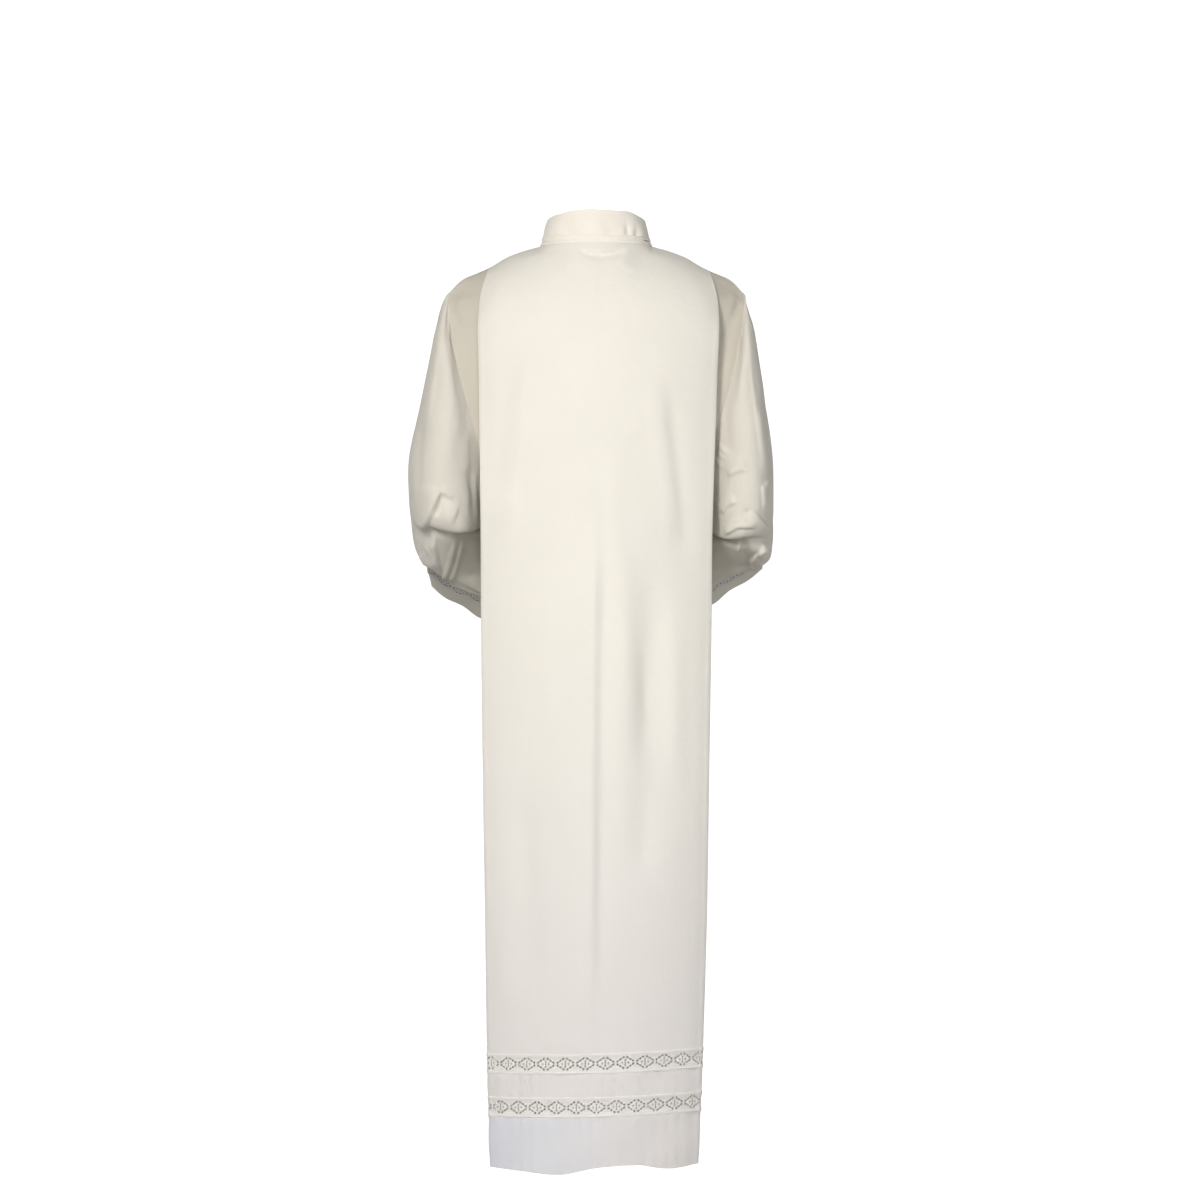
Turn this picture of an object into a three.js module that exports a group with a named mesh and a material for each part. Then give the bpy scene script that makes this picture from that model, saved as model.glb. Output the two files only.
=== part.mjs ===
// Alb: a long white vestment in worn form, hollow, with a pleated back, wide sleeves and lace insertions.
// Millimetres, +Z up. The wearer faces -Y and their left is +X. The origin is the middle of the neck base.
import * as THREE from "three";

// ---- driving sizes ----
const CLOTH = 2; // wall thickness of every cut piece
const SEAM = 0.3; // clearance between two pieces at a seam
const NECK_HALF_WIDTH = 84;
const NECK_BACK = 62; // neck edge behind the origin, and the same in front of it
const NECK_FRONT_DROP = 62;
const SHOULDER_Y = -4; // the shoulder seam runs over the top of the shoulder here
const COLLAR_HEIGHT = 39;
const COLLAR_LEAN = 9; // how far the top of the collar leans in
const COLLAR_SIDE_DROP = 13; // how much lower the collar is at its sides than behind
const BINDING_HEIGHT = 13;
const BINDING_WALL = 3;
const SLIT_END = -330; // lower end of the neck slit
const PLACKET_HALF_WIDTH = 16;
const LAYER = 7; // from one layer of a pleat to the next
const TURN = LAYER / 2; // radius of a pleat's fold
const PRESSED = 0.5; // share of the layers' spacing at the shoulder seam
const LACE = 28; // width of a lace insertion
const MID_BAND = 37;
const LACE_LINE = -1214; // upper edge of the upper lace at the middle
const LACE_TILT = 0.027; // the lace hangs a little lower on the wearer's left
const CUFF_BAND = 36;
const PITCH = 30; // repeat of the lace
const DIAMOND_HALF_WIDTH = 10;
const DIAMOND_HALF_HEIGHT = 8;
const SLOT = { length: 6, width: 2.4 }; // the largest gap of the lace
const RING = 22; // stations round a sleeve, and lace repeats round its cuff

// ---- tables, one row for each level or section ----
// edges of the back panel, where its pleats turn under, and how deep each pleat is
const PLEATS = [
  { z: -25, left: 162, right: 170, deep: 34 },
  { z: -85, left: 178, right: 186, deep: 40 },
  { z: -200, left: 178, right: 184, deep: 48 },
  { z: -430, left: 175.5, right: 177, deep: 56 },
  { z: -565, left: 175, right: 176, deep: 60 },
  { z: -780, left: 172.5, right: 172.5, deep: 64 },
  { z: -1000, left: 169, right: 169, deep: 66 },
  { z: -1200, left: 166, right: 163, deep: 68 },
  { z: -1400, left: 161, right: 155, deep: 70 },
];
// body of the garment: depth behind and in front, and how far the back panel curves away at its edges
const DEPTHS = [
  { z: 0, back: 84, fall: 20, front: 76 },
  { z: -60, back: 92, fall: 28, front: 86 },
  { z: -130, back: 104, fall: 34, front: 104 },
  { z: -220, back: 110, fall: 40, front: 118 },
  { z: -350, back: 110, fall: 44, front: 122 },
  { z: -500, back: 106, fall: 44, front: 116 },
  { z: -700, back: 108, fall: 46, front: 120 },
  { z: -1000, back: 118, fall: 50, front: 136 },
  { z: -1400, back: 130, fall: 56, front: 156 },
];
// shoulder seam from the neck to the tip
const SHOULDER = [
  { x: 84, z: -2 },
  { x: 111, z: -9 },
  { x: 136, z: -17 },
  { x: 160, z: -29 },
  { x: 180, z: -37 },
  { x: 202, z: -47 },
  { x: 224, z: -67 },
];
// armhole edge of the back and of the front, then the side seam
const SIDE = [
  { z: -67, x: 224, back: -3, front: -3 },
  { z: -80, x: 226, back: 8, front: -14 },
  { z: -105, x: 223, back: 20, front: -28 },
  { z: -140, x: 218, back: 32, front: -42 },
  { z: -200, x: 205, back: 43, front: -54 },
  { z: -255, x: 190, back: 44, front: -58 },
  { z: -305, x: 175, back: 34, front: -50 },
  { z: -350, x: 165, back: 15, front: -34 },
  { z: -378, x: 161, back: -8, front: -8 },
  { z: -450, x: 161, back: -8, front: -8 },
  { z: -600, x: 162, back: -9, front: -9 },
  { z: -800, x: 160, back: -10, front: -10 },
  { z: -1000, x: 157, back: -11, front: -11 },
  { z: -1200, x: 152, back: -12, front: -12 },
  { z: -1400, x: 145, back: -12, front: -12 },
];
// heights of the rows of front and back, as a share of the way from the top edge to the upper lace;
// the first twelve lie along the armhole
const ROWS = [
  0, 0.008, 0.022, 0.042, 0.068, 0.098, 0.13, 0.162, 0.194, 0.222, 0.248, 0.2711,
  0.34, 0.43, 0.53, 0.64, 0.76, 0.88, 1,
];
const ARMHOLE_ROWS = 12;
const UNDERARM = -378;
// hem edge: how far the lowest edge hangs below the lower lace
const HEM = [
  { x: -160, drop: 81 },
  { x: -90, drop: 85 },
  { x: 0, drop: 84 },
  { x: 57, drop: 88 },
  { x: 110, drop: 81 },
  { x: 160, drop: 72 },
];
// folds of the back panel: middle line from top to end, half width, and how far it stands out
const BACK_FOLDS = [
  { fold: "centre crease crest", x0: 8, z0: -400, x1: 24, z1: -1120, wide: 13, out: 5 },
  { fold: "centre crease trough", x0: -9, z0: -400, x1: -4, z1: -1120, wide: 10, out: -5 },
  { fold: "left drag", x0: 118, z0: -140, x1: 150, z1: -420, wide: 18, out: -3 },
  { fold: "right drag", x0: -100, z0: -200, x1: -140, z1: -500, wide: 18, out: -3 },
  { fold: "left hollow", x0: 108, z0: -800, x1: 100, z1: -1150, wide: 26, out: -4 },
  { fold: "right hollow", x0: -70, z0: -560, x1: -62, z1: -900, wide: 26, out: -4 },
];
// soft folds of the front, by their place across it from -1 to 1
const FRONT_FOLDS = [
  { v: -0.66, z0: -260, wide: 0.1, out: 15 },
  { v: -0.3, z0: -420, wide: 0.09, out: 18 },
  { v: 0.12, z0: -330, wide: 0.1, out: 14 },
  { v: 0.5, z0: -380, wide: 0.1, out: 19 },
  { v: 0.8, z0: -520, wide: 0.07, out: 10 },
];
// sleeve sections of the left sleeve, each a closed curve through its outer, back, inner and front point;
// rightX and rightZ are what the right sleeve adds at the outer point
const SLEEVE = [
  { at: "cap", out: [239, -4, -100], back: [212, 60, -232], inn: [168, -8, -390], front: [207, -68, -232], rightX: -6, rightZ: 0 },
  { at: "upper arm", out: [252, -4, -165], back: [221, 70, -276], inn: [172, -10, -402], front: [214, -78, -268], rightX: -7, rightZ: 0 },
  { at: "mid arm", out: [267, -6, -235], back: [227, 76, -324], inn: [173, -14, -413], front: [222, -88, -305], rightX: -9, rightZ: 0 },
  { at: "above elbow", out: [285, -10, -312], back: [231, 76, -380], inn: [173, -22, -424], front: [226, -100, -335], rightX: -16, rightZ: 0 },
  { at: "elbow fold", out: [286, -18, -366], back: [228, 66, -434], inn: [172, -30, -434], front: [221, -116, -342], rightX: -15, rightZ: 0 },
  { at: "fold return", out: [284, -30, -398], back: [224, 26, -456], inn: [167, -52, -445], front: [213, -132, -345], rightX: -14, rightZ: 2 },
  { at: "forearm", out: [277, -56, -440], back: [214, -30, -492], inn: [152, -102, -456], front: [198, -156, -342], rightX: -11, rightZ: 12 },
  { at: "hem", out: [255, -130, -515], back: [180, -142, -566], inn: [108, -188, -498], front: [160, -254, -366], rightX: 3, rightZ: 23 },
];

// places where a bent sleeve's lower fold has settled: the section and the station round it that rise most
const SETTLED = [
  { side: 1, section: 4.6, station: 8.6, rise: 20 },
  { side: 1, section: 4.6, station: 6.4, rise: 20 },
  { side: -1, section: 4.9, station: 1.6, rise: -38 },
  { side: -1, section: 4.6, station: 8.4, rise: 18 },
  { side: -1, section: 4.6, station: 6.2, rise: 8 },
];
const SETTLED_REACH = { sections: 1.2, stations: 2.2 };

// stations at which each quarter of a sleeve section starts, at the armhole and at the hem
const QUARTERS = [
  { point: "out", armhole: 0, hem: 0 },
  { point: "back", armhole: 5.5, hem: 4 },
  { point: "inn", armhole: 11, hem: 8.2 },
  { point: "front", armhole: 16.5, hem: 14 },
  { point: "out", armhole: RING, hem: RING },
];

// ---- helpers ----
const mix = (a, b, t) => a + (b - a) * t;
const clamp = (t) => Math.min(1, Math.max(0, t));
const ease = (t) => clamp(t) ** 2 * (3 - 2 * clamp(t));
const bell = (d) => Math.exp(-d * d);
const vec = (x, y, z) => new THREE.Vector3(x, y, z);

// Smooth value of a named column of a table at a place on its key column.
function track(table, key, name, at) {
  const up = table[0][key] < table[table.length - 1][key] ? 1 : -1;
  let i = 0;
  while (i < table.length - 2 && (at - table[i + 1][key]) * up > 0) i++;
  const k = (n) => table[clamp2(n, table.length)];
  const a = k(i);
  const b = k(i + 1);
  const t = clamp((at - a[key]) / (b[key] - a[key]));
  const slope = (p, q) => (q === p ? 0 : (q[name] - p[name]) / (q[key] - p[key]));
  const width = b[key] - a[key];
  const s0 = slope(k(i - 1), b) * width;
  const s1 = slope(a, k(i + 2)) * width;
  const t2 = t * t;
  const t3 = t2 * t;
  return (2 * t3 - 3 * t2 + 1) * a[name] + (t3 - 2 * t2 + t) * s0
    + (3 * t2 - 2 * t3) * b[name] + (t3 - t2) * s1;
}
const clamp2 = (n, size) => Math.min(size - 1, Math.max(0, n));

// ---- form of the body ----
// Height of the neck edge at a place across it, behind or in front.
function neckHeight(x, front) {
  const c = Math.sqrt(Math.max(0, 1 - (x / NECK_HALF_WIDTH) ** 2));
  return front ? -2 - (NECK_FRONT_DROP - 2) * c ** 1.3 : -2 * (1 - c);
}

// Top edge of back or front: the neck edge in the middle, then the shoulder seam.
function topEdge(x, front) {
  const w = Math.abs(x);
  if (w < NECK_HALF_WIDTH) {
    const y = NECK_BACK * Math.sqrt(1 - (w / NECK_HALF_WIDTH) ** 2);
    return { y: (front ? -y : y) + SHOULDER_Y * (w / NECK_HALF_WIDTH) ** 4, z: neckHeight(x, front) };
  }
  return { y: SHOULDER_Y, z: track(SHOULDER, "x", "z", w) };
}

// How far the surface has turned from the top edge (0) to the hanging wall (1).
function turnOver(x, drop, reach) {
  const s = clamp(drop / reach);
  const round = mix(0.8, 0.55, ease((Math.abs(x) - 50) / 60));
  return (1 - (1 - s) ** 2) ** round;
}

function backFolds(x, z) {
  let y = 0;
  for (const f of BACK_FOLDS) {
    const t = (z - f.z0) / (f.z1 - f.z0);
    if (t <= 0 || t >= 1) continue;
    y += f.out * bell((x - mix(f.x0, f.x1, t)) / f.wide) * ease(t * 4) * ease((1 - t) * 4);
  }
  return y;
}

// Depth of the back's outer layer.
function backDepth(x, z, topX) {
  const top = topEdge(topX, false);
  const y = track(DEPTHS, "z", "back", z) - track(DEPTHS, "z", "fall", z) * (x / 175) ** 2 + backFolds(x, z);
  return mix(top.y, y, turnOver(topX, top.z - z, 120));
}

const panelEdge = (z, side) => track(PLEATS, "z", side > 0 ? "left" : "right", z);

// Point of the back's outer layer, sunk by some depth square to the cloth.
// The layers are pressed together where they are sewn into the shoulder seam.
function layered(x, z, topX, fullDepth) {
  const e = 3;
  const depth = fullDepth * mix(PRESSED, 1, ease((topEdge(topX, false).z - z) / 80));
  const zz = Math.min(z, topEdge(topX, false).z - e);
  const dx = (backDepth(x + e, z, topX) - backDepth(x - e, z, topX)) / (2 * e);
  const dz = (backDepth(x, zz + e, topX) - backDepth(x, zz - e, topX)) / (2 * e);
  const high = 1 - ease((topEdge(topX, false).z - z - 150) / 200);
  const n = vec(-dx, 1, -dz * high).normalize();
  const p = vec(x, backDepth(x, z, topX), z).addScaledVector(n, -depth);
  return p.setY(Math.max(p.y, SHOULDER_Y));
}

// A column of the back runs from its top edge to the hem. Its zone is the panel, a pleat's turn,
// underlay or inner turn, or the side part, and k is its place in that zone.
function backPoint(column, z) {
  const { zone, side, k, topX } = column;
  const edge = panelEdge(z, side);
  const deep = track(PLEATS, "z", "deep", z);
  const inner = edge - deep;
  const at = (w, depth) => layered(side * w, z, topX, depth);
  if (zone === "panel") return at(k * (edge - TURN), 0);
  if (zone === "turn") return at(edge - TURN + TURN * Math.sin(Math.PI * k), TURN - TURN * Math.cos(Math.PI * k));
  if (zone === "underlay") return at(mix(edge - TURN, inner + TURN, k), LAYER);
  if (zone === "inner turn")
    return at(inner + TURN - TURN * Math.sin(Math.PI * k), LAYER + TURN - TURN * Math.cos(Math.PI * k));
  const end = vec(side * track(SIDE, "z", "x", z), track(SIDE, "z", "back", z) + SEAM / 2, z);
  const under = Math.min(edge, Math.abs(end.x)) - 5;
  if (k <= 0.5) return at(mix(inner + TURN, under, k * 2), 2 * LAYER + 2 * k);
  const p = at(under, 2 * LAYER + 1);
  const c = p.clone().lerp(end, 0.5).add(vec(side * 5 * ease((-378 - z) / 60), 0, 0));
  const t = k * 2 - 1;
  return p.multiplyScalar((1 - t) ** 2).addScaledVector(c, 2 * t * (1 - t)).addScaledVector(end, t * t);
}

// Place of a column's top edge: the pleat's layers lie under each other at the shoulder seam.
function topOfColumn(column) {
  const { zone, side, k } = column;
  const edge = panelEdge(-25, side);
  const inner = edge - track(PLEATS, "z", "deep", -25);
  if (zone === "panel") return side * k * (edge - TURN);
  if (zone === "turn") return side * edge;
  if (zone === "underlay") return side * mix(edge, inner, k);
  if (zone === "inner turn") return side * inner;
  return side * (k <= 0.5 ? mix(inner, edge - 5, k * 2) : mix(edge - 5, 224, k * 2 - 1));
}

const withTop = (column) => ({ ...column, topX: topOfColumn(column) });

// Columns of the plain stretches of the back, from the wearer's right side seam to their left.
function backColumns() {
  const half = (side) => {
    const edge = panelEdge(-25, side) - TURN;
    const list = [5, 14, 40, 64, 77, NECK_HALF_WIDTH, 112, 138].map((x) => ({ zone: "panel", side, k: x / edge }));
    list.push({ zone: "panel", side, k: 1 }, { zone: "turn", side, k: 0.5 });
    list.push({ zone: "underlay", side, k: 0 }, { zone: "underlay", side, k: 1 });
    list.push({ zone: "inner turn", side, k: 0.5 });
    for (const k of [0, 0.5, 0.75, 1]) list.push({ zone: "side", side, k });
    return list.map(withTop);
  };
  return [...half(-1).reverse(), ...half(1)];
}

// Point of the front at its place across, -1 to 1, and height.
function frontPoint(v, z, out = 0) {
  const topX = v * 224;
  const top = topEdge(topX, true);
  const edge = track(SIDE, "z", "x", z);
  const sideY = track(SIDE, "z", "front", z);
  const low = ease((-z - 250) / 1100);
  let y = sideY - (track(DEPTHS, "z", "front", z) + sideY) * (1 - Math.abs(v) ** 3) ** 0.62;
  for (const f of FRONT_FOLDS)
    y -= f.out * low * ease((f.z0 - z) / 300) * (bell((v - f.v) / f.wide) - 0.3) * (1 - v ** 6);
  const seamed = Math.abs(v) < 1 ? y : sideY;
  const wall = mix(top.y, seamed, turnOver(topX, top.z - z, 120));
  return vec(v * edge, wall - 1.7 * SEAM - out, z);
}

const frontPlaces = [29, 60, 77, NECK_HALF_WIDTH, 112, 146, 178, 208, 224].map((x) => x / 224);
const frontColumns = [...frontPlaces.map((v) => -v).reverse(), 0, ...frontPlaces];

// Normals of a body piece, with its edges at the side seams and shoulder seams cut square to Y,
// so that front and back face each other there.
function seamedNormals(points) {
  const normals = gridNormals(points, false);
  const flat = (n) => n.setY(0).normalize();
  for (const column of [0, points.length - 1])
    points[column].forEach((p, j) => { if (p.z < UNDERARM + 30) flat(normals[column][j]); });
  points.forEach((column, i) => {
    if (column[0].z > UNDERARM && Math.abs(column[0].x) >= NECK_HALF_WIDTH - 1) flat(normals[i][0]);
  });
  return normals;
}

const laceLine = (x) => LACE_LINE - LACE_TILT * x;
// Levels of the skirt's bands at a place across, from the upper lace down.
const LEVELS = [
  { band: "lace_upper", from: 0, to: LACE },
  { band: "mid_band", from: LACE, to: LACE + MID_BAND },
  { band: "lace_lower", from: LACE + MID_BAND, to: 2 * LACE + MID_BAND },
];

// Point of a column on a seam line, some way below the upper lace's line.
function onLine(at, spot, level) {
  let p = at(spot, LACE_LINE - level);
  for (let n = 0; n < 3; n++) p = at(spot, laceLine(p.x) - level);
  return p;
}

// ---- cloth walls ----
// Square directions to a grid of points, from its neighbours.
function gridNormals(points, closed) {
  const cols = points.length;
  return points.map((column, i) => column.map((p, j) => {
    const a = closed ? points[(i + cols - 1) % cols] : points[Math.max(0, i - 1)];
    const b = closed ? points[(i + 1) % cols] : points[Math.min(cols - 1, i + 1)];
    const along = vec(0, 0, 0);
    if (a !== column) along.add(p.clone().sub(a[j]).normalize());
    if (b !== column) along.add(b[j].clone().sub(p).normalize());
    const down = column[Math.min(column.length - 1, j + 1)].clone().sub(column[Math.max(0, j - 1)]);
    return along.cross(down).normalize();
  }));
}

// Closed solid of a wall round a grid of mid points: points[column][row], open(i, j) leaves a cell out.
function clothWall(points, { closed = false, wall = CLOTH, open = () => false, normals } = {}) {
  const cols = points.length;
  const rows = points[0].length;
  const square = normals ?? gridNormals(points, closed);
  const vertices = [];
  for (const layer of [0.5, -0.5])
    points.forEach((column, i) => column.forEach((p, j) =>
      vertices.push(p.clone().addScaledVector(square[i][j], layer * wall))));
  const id = (layer, i, j) => layer * cols * rows + (i % cols) * rows + j;
  const cells = closed ? cols : cols - 1;
  const has = (i, j) => {
    const ii = closed ? (i + cells) % cells : i;
    return ii >= 0 && ii < cells && j >= 0 && j < rows - 1 && !open(ii, j);
  };
  const triangles = [];
  const quad = (a, b, c, d) => triangles.push([a, b, c], [a, c, d]);
  for (let i = 0; i < cells; i++)
    for (let j = 0; j < rows - 1; j++) {
      if (!has(i, j)) continue;
      const n = i + 1;
      quad(id(0, i, j), id(0, n, j), id(0, n, j + 1), id(0, i, j + 1));
      quad(id(1, i, j), id(1, i, j + 1), id(1, n, j + 1), id(1, n, j));
      if (!has(i, j - 1)) quad(id(0, i, j), id(1, i, j), id(1, n, j), id(0, n, j));
      if (!has(i, j + 1)) quad(id(0, i, j + 1), id(0, n, j + 1), id(1, n, j + 1), id(1, i, j + 1));
      if (!has(i - 1, j)) quad(id(0, i, j), id(0, i, j + 1), id(1, i, j + 1), id(1, i, j));
      if (!has(i + 1, j)) quad(id(0, n, j), id(1, n, j), id(1, n, j + 1), id(0, n, j + 1));
    }
  return solid(vertices, triangles);
}

// Geometry of a closed surface, turned so that it faces out.
function solid(vertices, triangles) {
  let volume = 0;
  for (const [a, b, c] of triangles)
    volume += vertices[a].dot(vertices[b].clone().cross(vertices[c]));
  const geometry = new THREE.BufferGeometry();
  geometry.setAttribute("position", new THREE.Float32BufferAttribute(vertices.flatMap((p) => [p.x, p.y, p.z]), 3));
  geometry.setIndex(triangles.flatMap(([a, b, c]) => (volume > 0 ? [a, b, c] : [a, c, b])));
  geometry.computeVertexNormals();
  return geometry;
}

// ---- lace ----
// One repeat of the lace from one diamond's middle to the next, with its two largest gaps, in shares of the cell.
const laceSlots = [DIAMOND_HALF_WIDTH * 0.62, PITCH - DIAMOND_HALF_WIDTH * 0.62].map((x, n) => {
  const turn = Math.atan2(DIAMOND_HALF_HEIGHT, DIAMOND_HALF_WIDTH) * (n ? -1 : 1);
  const y = -DIAMOND_HALF_HEIGHT * 0.42;
  return [[-1, -1], [1, -1], [1, 1], [-1, 1]].map(([a, b]) => {
    const p = new THREE.Vector2((a * SLOT.length) / 2, (b * SLOT.width) / 2).rotateAround(new THREE.Vector2(), turn);
    return new THREE.Vector2((p.x + x) / PITCH, (p.y + y) / LACE + 0.5);
  });
});
const laceCell = [[0, 0], [1, 0], [1, 1], [0, 1]].map(([x, y]) => new THREE.Vector2(x, y));
const laceFaces = THREE.ShapeUtils.triangulateShape(laceCell, laceSlots);

// Lace strip along stations, each {top, foot, pierced}: the cell after a pierced station has its gaps cut.
function laceStrip(stations) {
  const points = stations.map((s) => [s.top, s.foot]);
  const normals = stations[0].square ? stations.map((s) => s.square) : seamedNormals(points);
  const vertices = [];
  const triangles = [];
  const put = (i, u, v, layer) => {
    const n = Math.min(stations.length - 1, i + 1);
    const at = (grid) => grid[i][1].clone().lerp(grid[n][1], u).lerp(grid[i][0].clone().lerp(grid[n][0], u), v);
    vertices.push(at(points).addScaledVector(at(normals).normalize(), (layer ? -0.5 : 0.5) * CLOTH));
    return vertices.length - 1;
  };
  const edge = stations.map((s, i) => [0, 1].map((layer) => [put(i, 0, 0, layer), put(i, 0, 1, layer)]));
  const quad = (a, b, c, d) => triangles.push([a, b, c], [a, c, d]);
  const last = stations.length - 1;
  for (let i = 0; i < last; i++) {
    const corners = [0, 1].map((layer) => [edge[i][layer][0], edge[i + 1][layer][0], edge[i + 1][layer][1], edge[i][layer][1]]);
    if (stations[i].pierced) {
      const holes = laceSlots.map((slot) => [0, 1].map((layer) => slot.map((p) => put(i, p.x, p.y, layer))));
      const ids = [0, 1].map((layer) => [...corners[layer], ...holes.flatMap((h) => h[layer])]);
      for (const [a, b, c] of laceFaces) {
        triangles.push([ids[0][a], ids[0][b], ids[0][c]], [ids[1][a], ids[1][c], ids[1][b]]);
      }
      for (const [o, n] of holes)
        for (let k = 0; k < 4; k++) quad(o[k], o[(k + 1) % 4], n[(k + 1) % 4], n[k]);
    } else {
      quad(...corners[0]);
      quad(...[...corners[1]].reverse());
    }
    const [o, n] = corners;
    quad(o[1], o[0], n[0], n[1]);
    quad(o[3], o[2], n[2], n[3]);
    if (i === 0) quad(o[0], o[3], n[3], n[0]);
    if (i === last - 1) quad(o[2], o[1], n[1], n[2]);
  }
  return solid(vertices, triangles);
}

// Shares of a stretch at which the repeats of the lace start and end, with the rest left plain.
function repeats(length, first) {
  const count = Math.floor((length - first) / PITCH);
  const marks = [];
  for (let n = 0; n <= count; n++) marks.push({ k: (first + n * PITCH) / length, pierced: n < count });
  if (first > 2) marks.unshift({ k: 0, pierced: false });
  else marks[0].k = 0;
  if (1 - marks[marks.length - 1].k > 2 / length) marks.push({ k: 1, pierced: false });
  else marks[marks.length - 1].k = 1;
  return marks;
}

// Columns of a lace band of the back, at its own repeats in each stretch of the pleated path.
function backLaceColumns(z, first) {
  const slant = 1.035; // cloth runs this much farther than its width, as the panel curves
  const width = (panelEdge(z, 1) + panelEdge(z, -1) - 2 * TURN) * slant;
  const left = panelEdge(z, 1) - TURN;
  const right = panelEdge(z, -1) - TURN;
  // across the panel from the wearer's left edge to the right one
  const across = repeats(width, first).map(({ k, pierced }) => {
    const x = mix(left, -right, k);
    return { zone: "panel", side: x < 0 ? -1 : 1, k: x < 0 ? -x / right : x / left, pierced };
  });
  const deep = track(PLEATS, "z", "deep", z) - 2 * TURN;
  const away = (side, list) => (side > 0 ? list.reverse().map((c, i, all) => ({ ...c, pierced: !!all[i + 1]?.pierced })) : list);
  const sidePart = (side) => {
    const length = sideLength(side, z);
    const under = repeats(deep, 2).map((m) => ({ zone: "underlay", side, ...m }));
    const body = repeats(length, 4).map(({ k, pierced }) => ({ zone: "side", side, k: sideShare(side, z, k), pierced }));
    return [
      { zone: "turn", side, k: 0.5, pierced: false }, ...under,
      { zone: "inner turn", side, k: 0.5, pierced: false }, ...body,
    ];
  };
  const leftPart = away(1, sidePart(1));
  leftPart.forEach((c) => { if (c.zone.includes("turn")) c.pierced = false; });
  return [...leftPart, ...across, ...sidePart(-1)].map(withTop);
}

// Length of the side part of the back at a height, and the place at a share of that length.
function sidePath(side, z) {
  const steps = 40;
  const column = (k) => ({ zone: "side", side, k, topX: side * 200 });
  const marks = [0];
  for (let n = 1; n <= steps; n++)
    marks.push(marks[n - 1] + backPoint(column(n / steps), z).distanceTo(backPoint(column((n - 1) / steps), z)));
  return marks;
}
const sideLength = (side, z) => sidePath(side, z).at(-1);
function sideShare(side, z, share) {
  const marks = sidePath(side, z);
  const goal = share * marks.at(-1);
  const n = Math.min(marks.length - 2, marks.findLastIndex((m) => m <= goal + 1e-9));
  return clamp((n + (goal - marks[n]) / (marks[n + 1] - marks[n])) / (marks.length - 1));
}

// ---- build the pieces ----
const alb = new THREE.Group();
function piece(name, geometry, colour, roughness = 0.85) {
  const mesh = new THREE.Mesh(geometry, new THREE.MeshStandardMaterial({ color: colour, roughness, metalness: 0 }));
  mesh.name = name;
  alb.add(mesh);
}

// back
const columns = backColumns();
const columnPoints = (column, heights) => heights.map((z) => backPoint(column, z));
const rowsOf = (topZ, foot) => ROWS.map((t) => mix(topZ, foot.z, t));
const backGrid = columns.map((column) =>
  columnPoints(column, rowsOf(topEdge(column.topX, false).z, onLine(backPoint, column, -SEAM / 2))));
piece("back", clothWall(backGrid, { normals: seamedNormals(backGrid) }), 0xf1ede4);

// front, with the slit at its middle
const slitAt = frontColumns.indexOf(0);
const frontSpots = [...frontColumns.slice(0, slitAt), -0.003, 0.003, ...frontColumns.slice(slitAt + 1)];
const frontRows = (v) => rowsOf(topEdge(v * 224, true).z, onLine(frontPoint, v, -SEAM / 2));
const frontGrid = frontSpots.map((v) => frontRows(v).map((z) => frontPoint(v, z)));
const slit = (i, j) => i === slitAt && frontRows(0)[j] > SLIT_END;
piece("front", clothWall(frontGrid, { open: slit, normals: seamedNormals(frontGrid) }), 0xefebe2);

// neck slit's placket, laid on the front's own points and moved out
const placketReach = SLIT_END - 30;
const frontNormals = gridNormals(frontGrid, false);
const placket = [-1, -0.03, 0.03, 1].map((k) => {
  const near = k < 0 ? slitAt : slitAt + 1;
  const far = k < 0 ? slitAt - 1 : slitAt + 2;
  const rows = frontGrid[near].map((p, j) => ({ p, j })).filter(({ p, j }) => j > 0 && p.z > placketReach);
  return rows.map(({ p, j }) => {
    const q = frontGrid[far][j];
    const share = (Math.abs(k) * PLACKET_HALF_WIDTH) / Math.abs(q.x);
    const out = frontNormals[near][j].clone().multiplyScalar(Math.sign(-frontNormals[near][j].y));
    return p.clone().lerp(q, share).addScaledVector(out, CLOTH + SEAM);
  });
});
piece("front_placket", clothWall(placket), 0xf3efe6);

// bands of the skirt
function band(name, from, to, spots, at, colour, steps = 1) {
  const grid = spots.map((spot) => {
    const top = onLine(at, spot, from + SEAM / 2);
    const foot = typeof to === "function" ? to(top.x) : to - SEAM / 2;
    return Array.from({ length: steps + 1 }, (_, n) => onLine(at, spot, mix(from + SEAM / 2, foot, n / steps)));
  });
  piece(name, clothWall(grid, { normals: seamedNormals(grid) }), colour);
}
const LOWER_END = 2 * LACE + MID_BAND;
const hemDrop = (x) => LOWER_END + track(HEM, "x", "drop", x);
band("mid_band_back", LACE, LACE + MID_BAND, columns, backPoint, 0xd9d6d0);
band("mid_band_front", LACE, LACE + MID_BAND, frontColumns, frontPoint, 0xd9d6d0);
band("hem_band_back", LOWER_END, hemDrop, columns, backPoint, 0xd8d9dc, 2);
band("hem_band_front", LOWER_END, hemDrop, frontColumns, frontPoint, 0xd8d9dc, 2);

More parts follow.
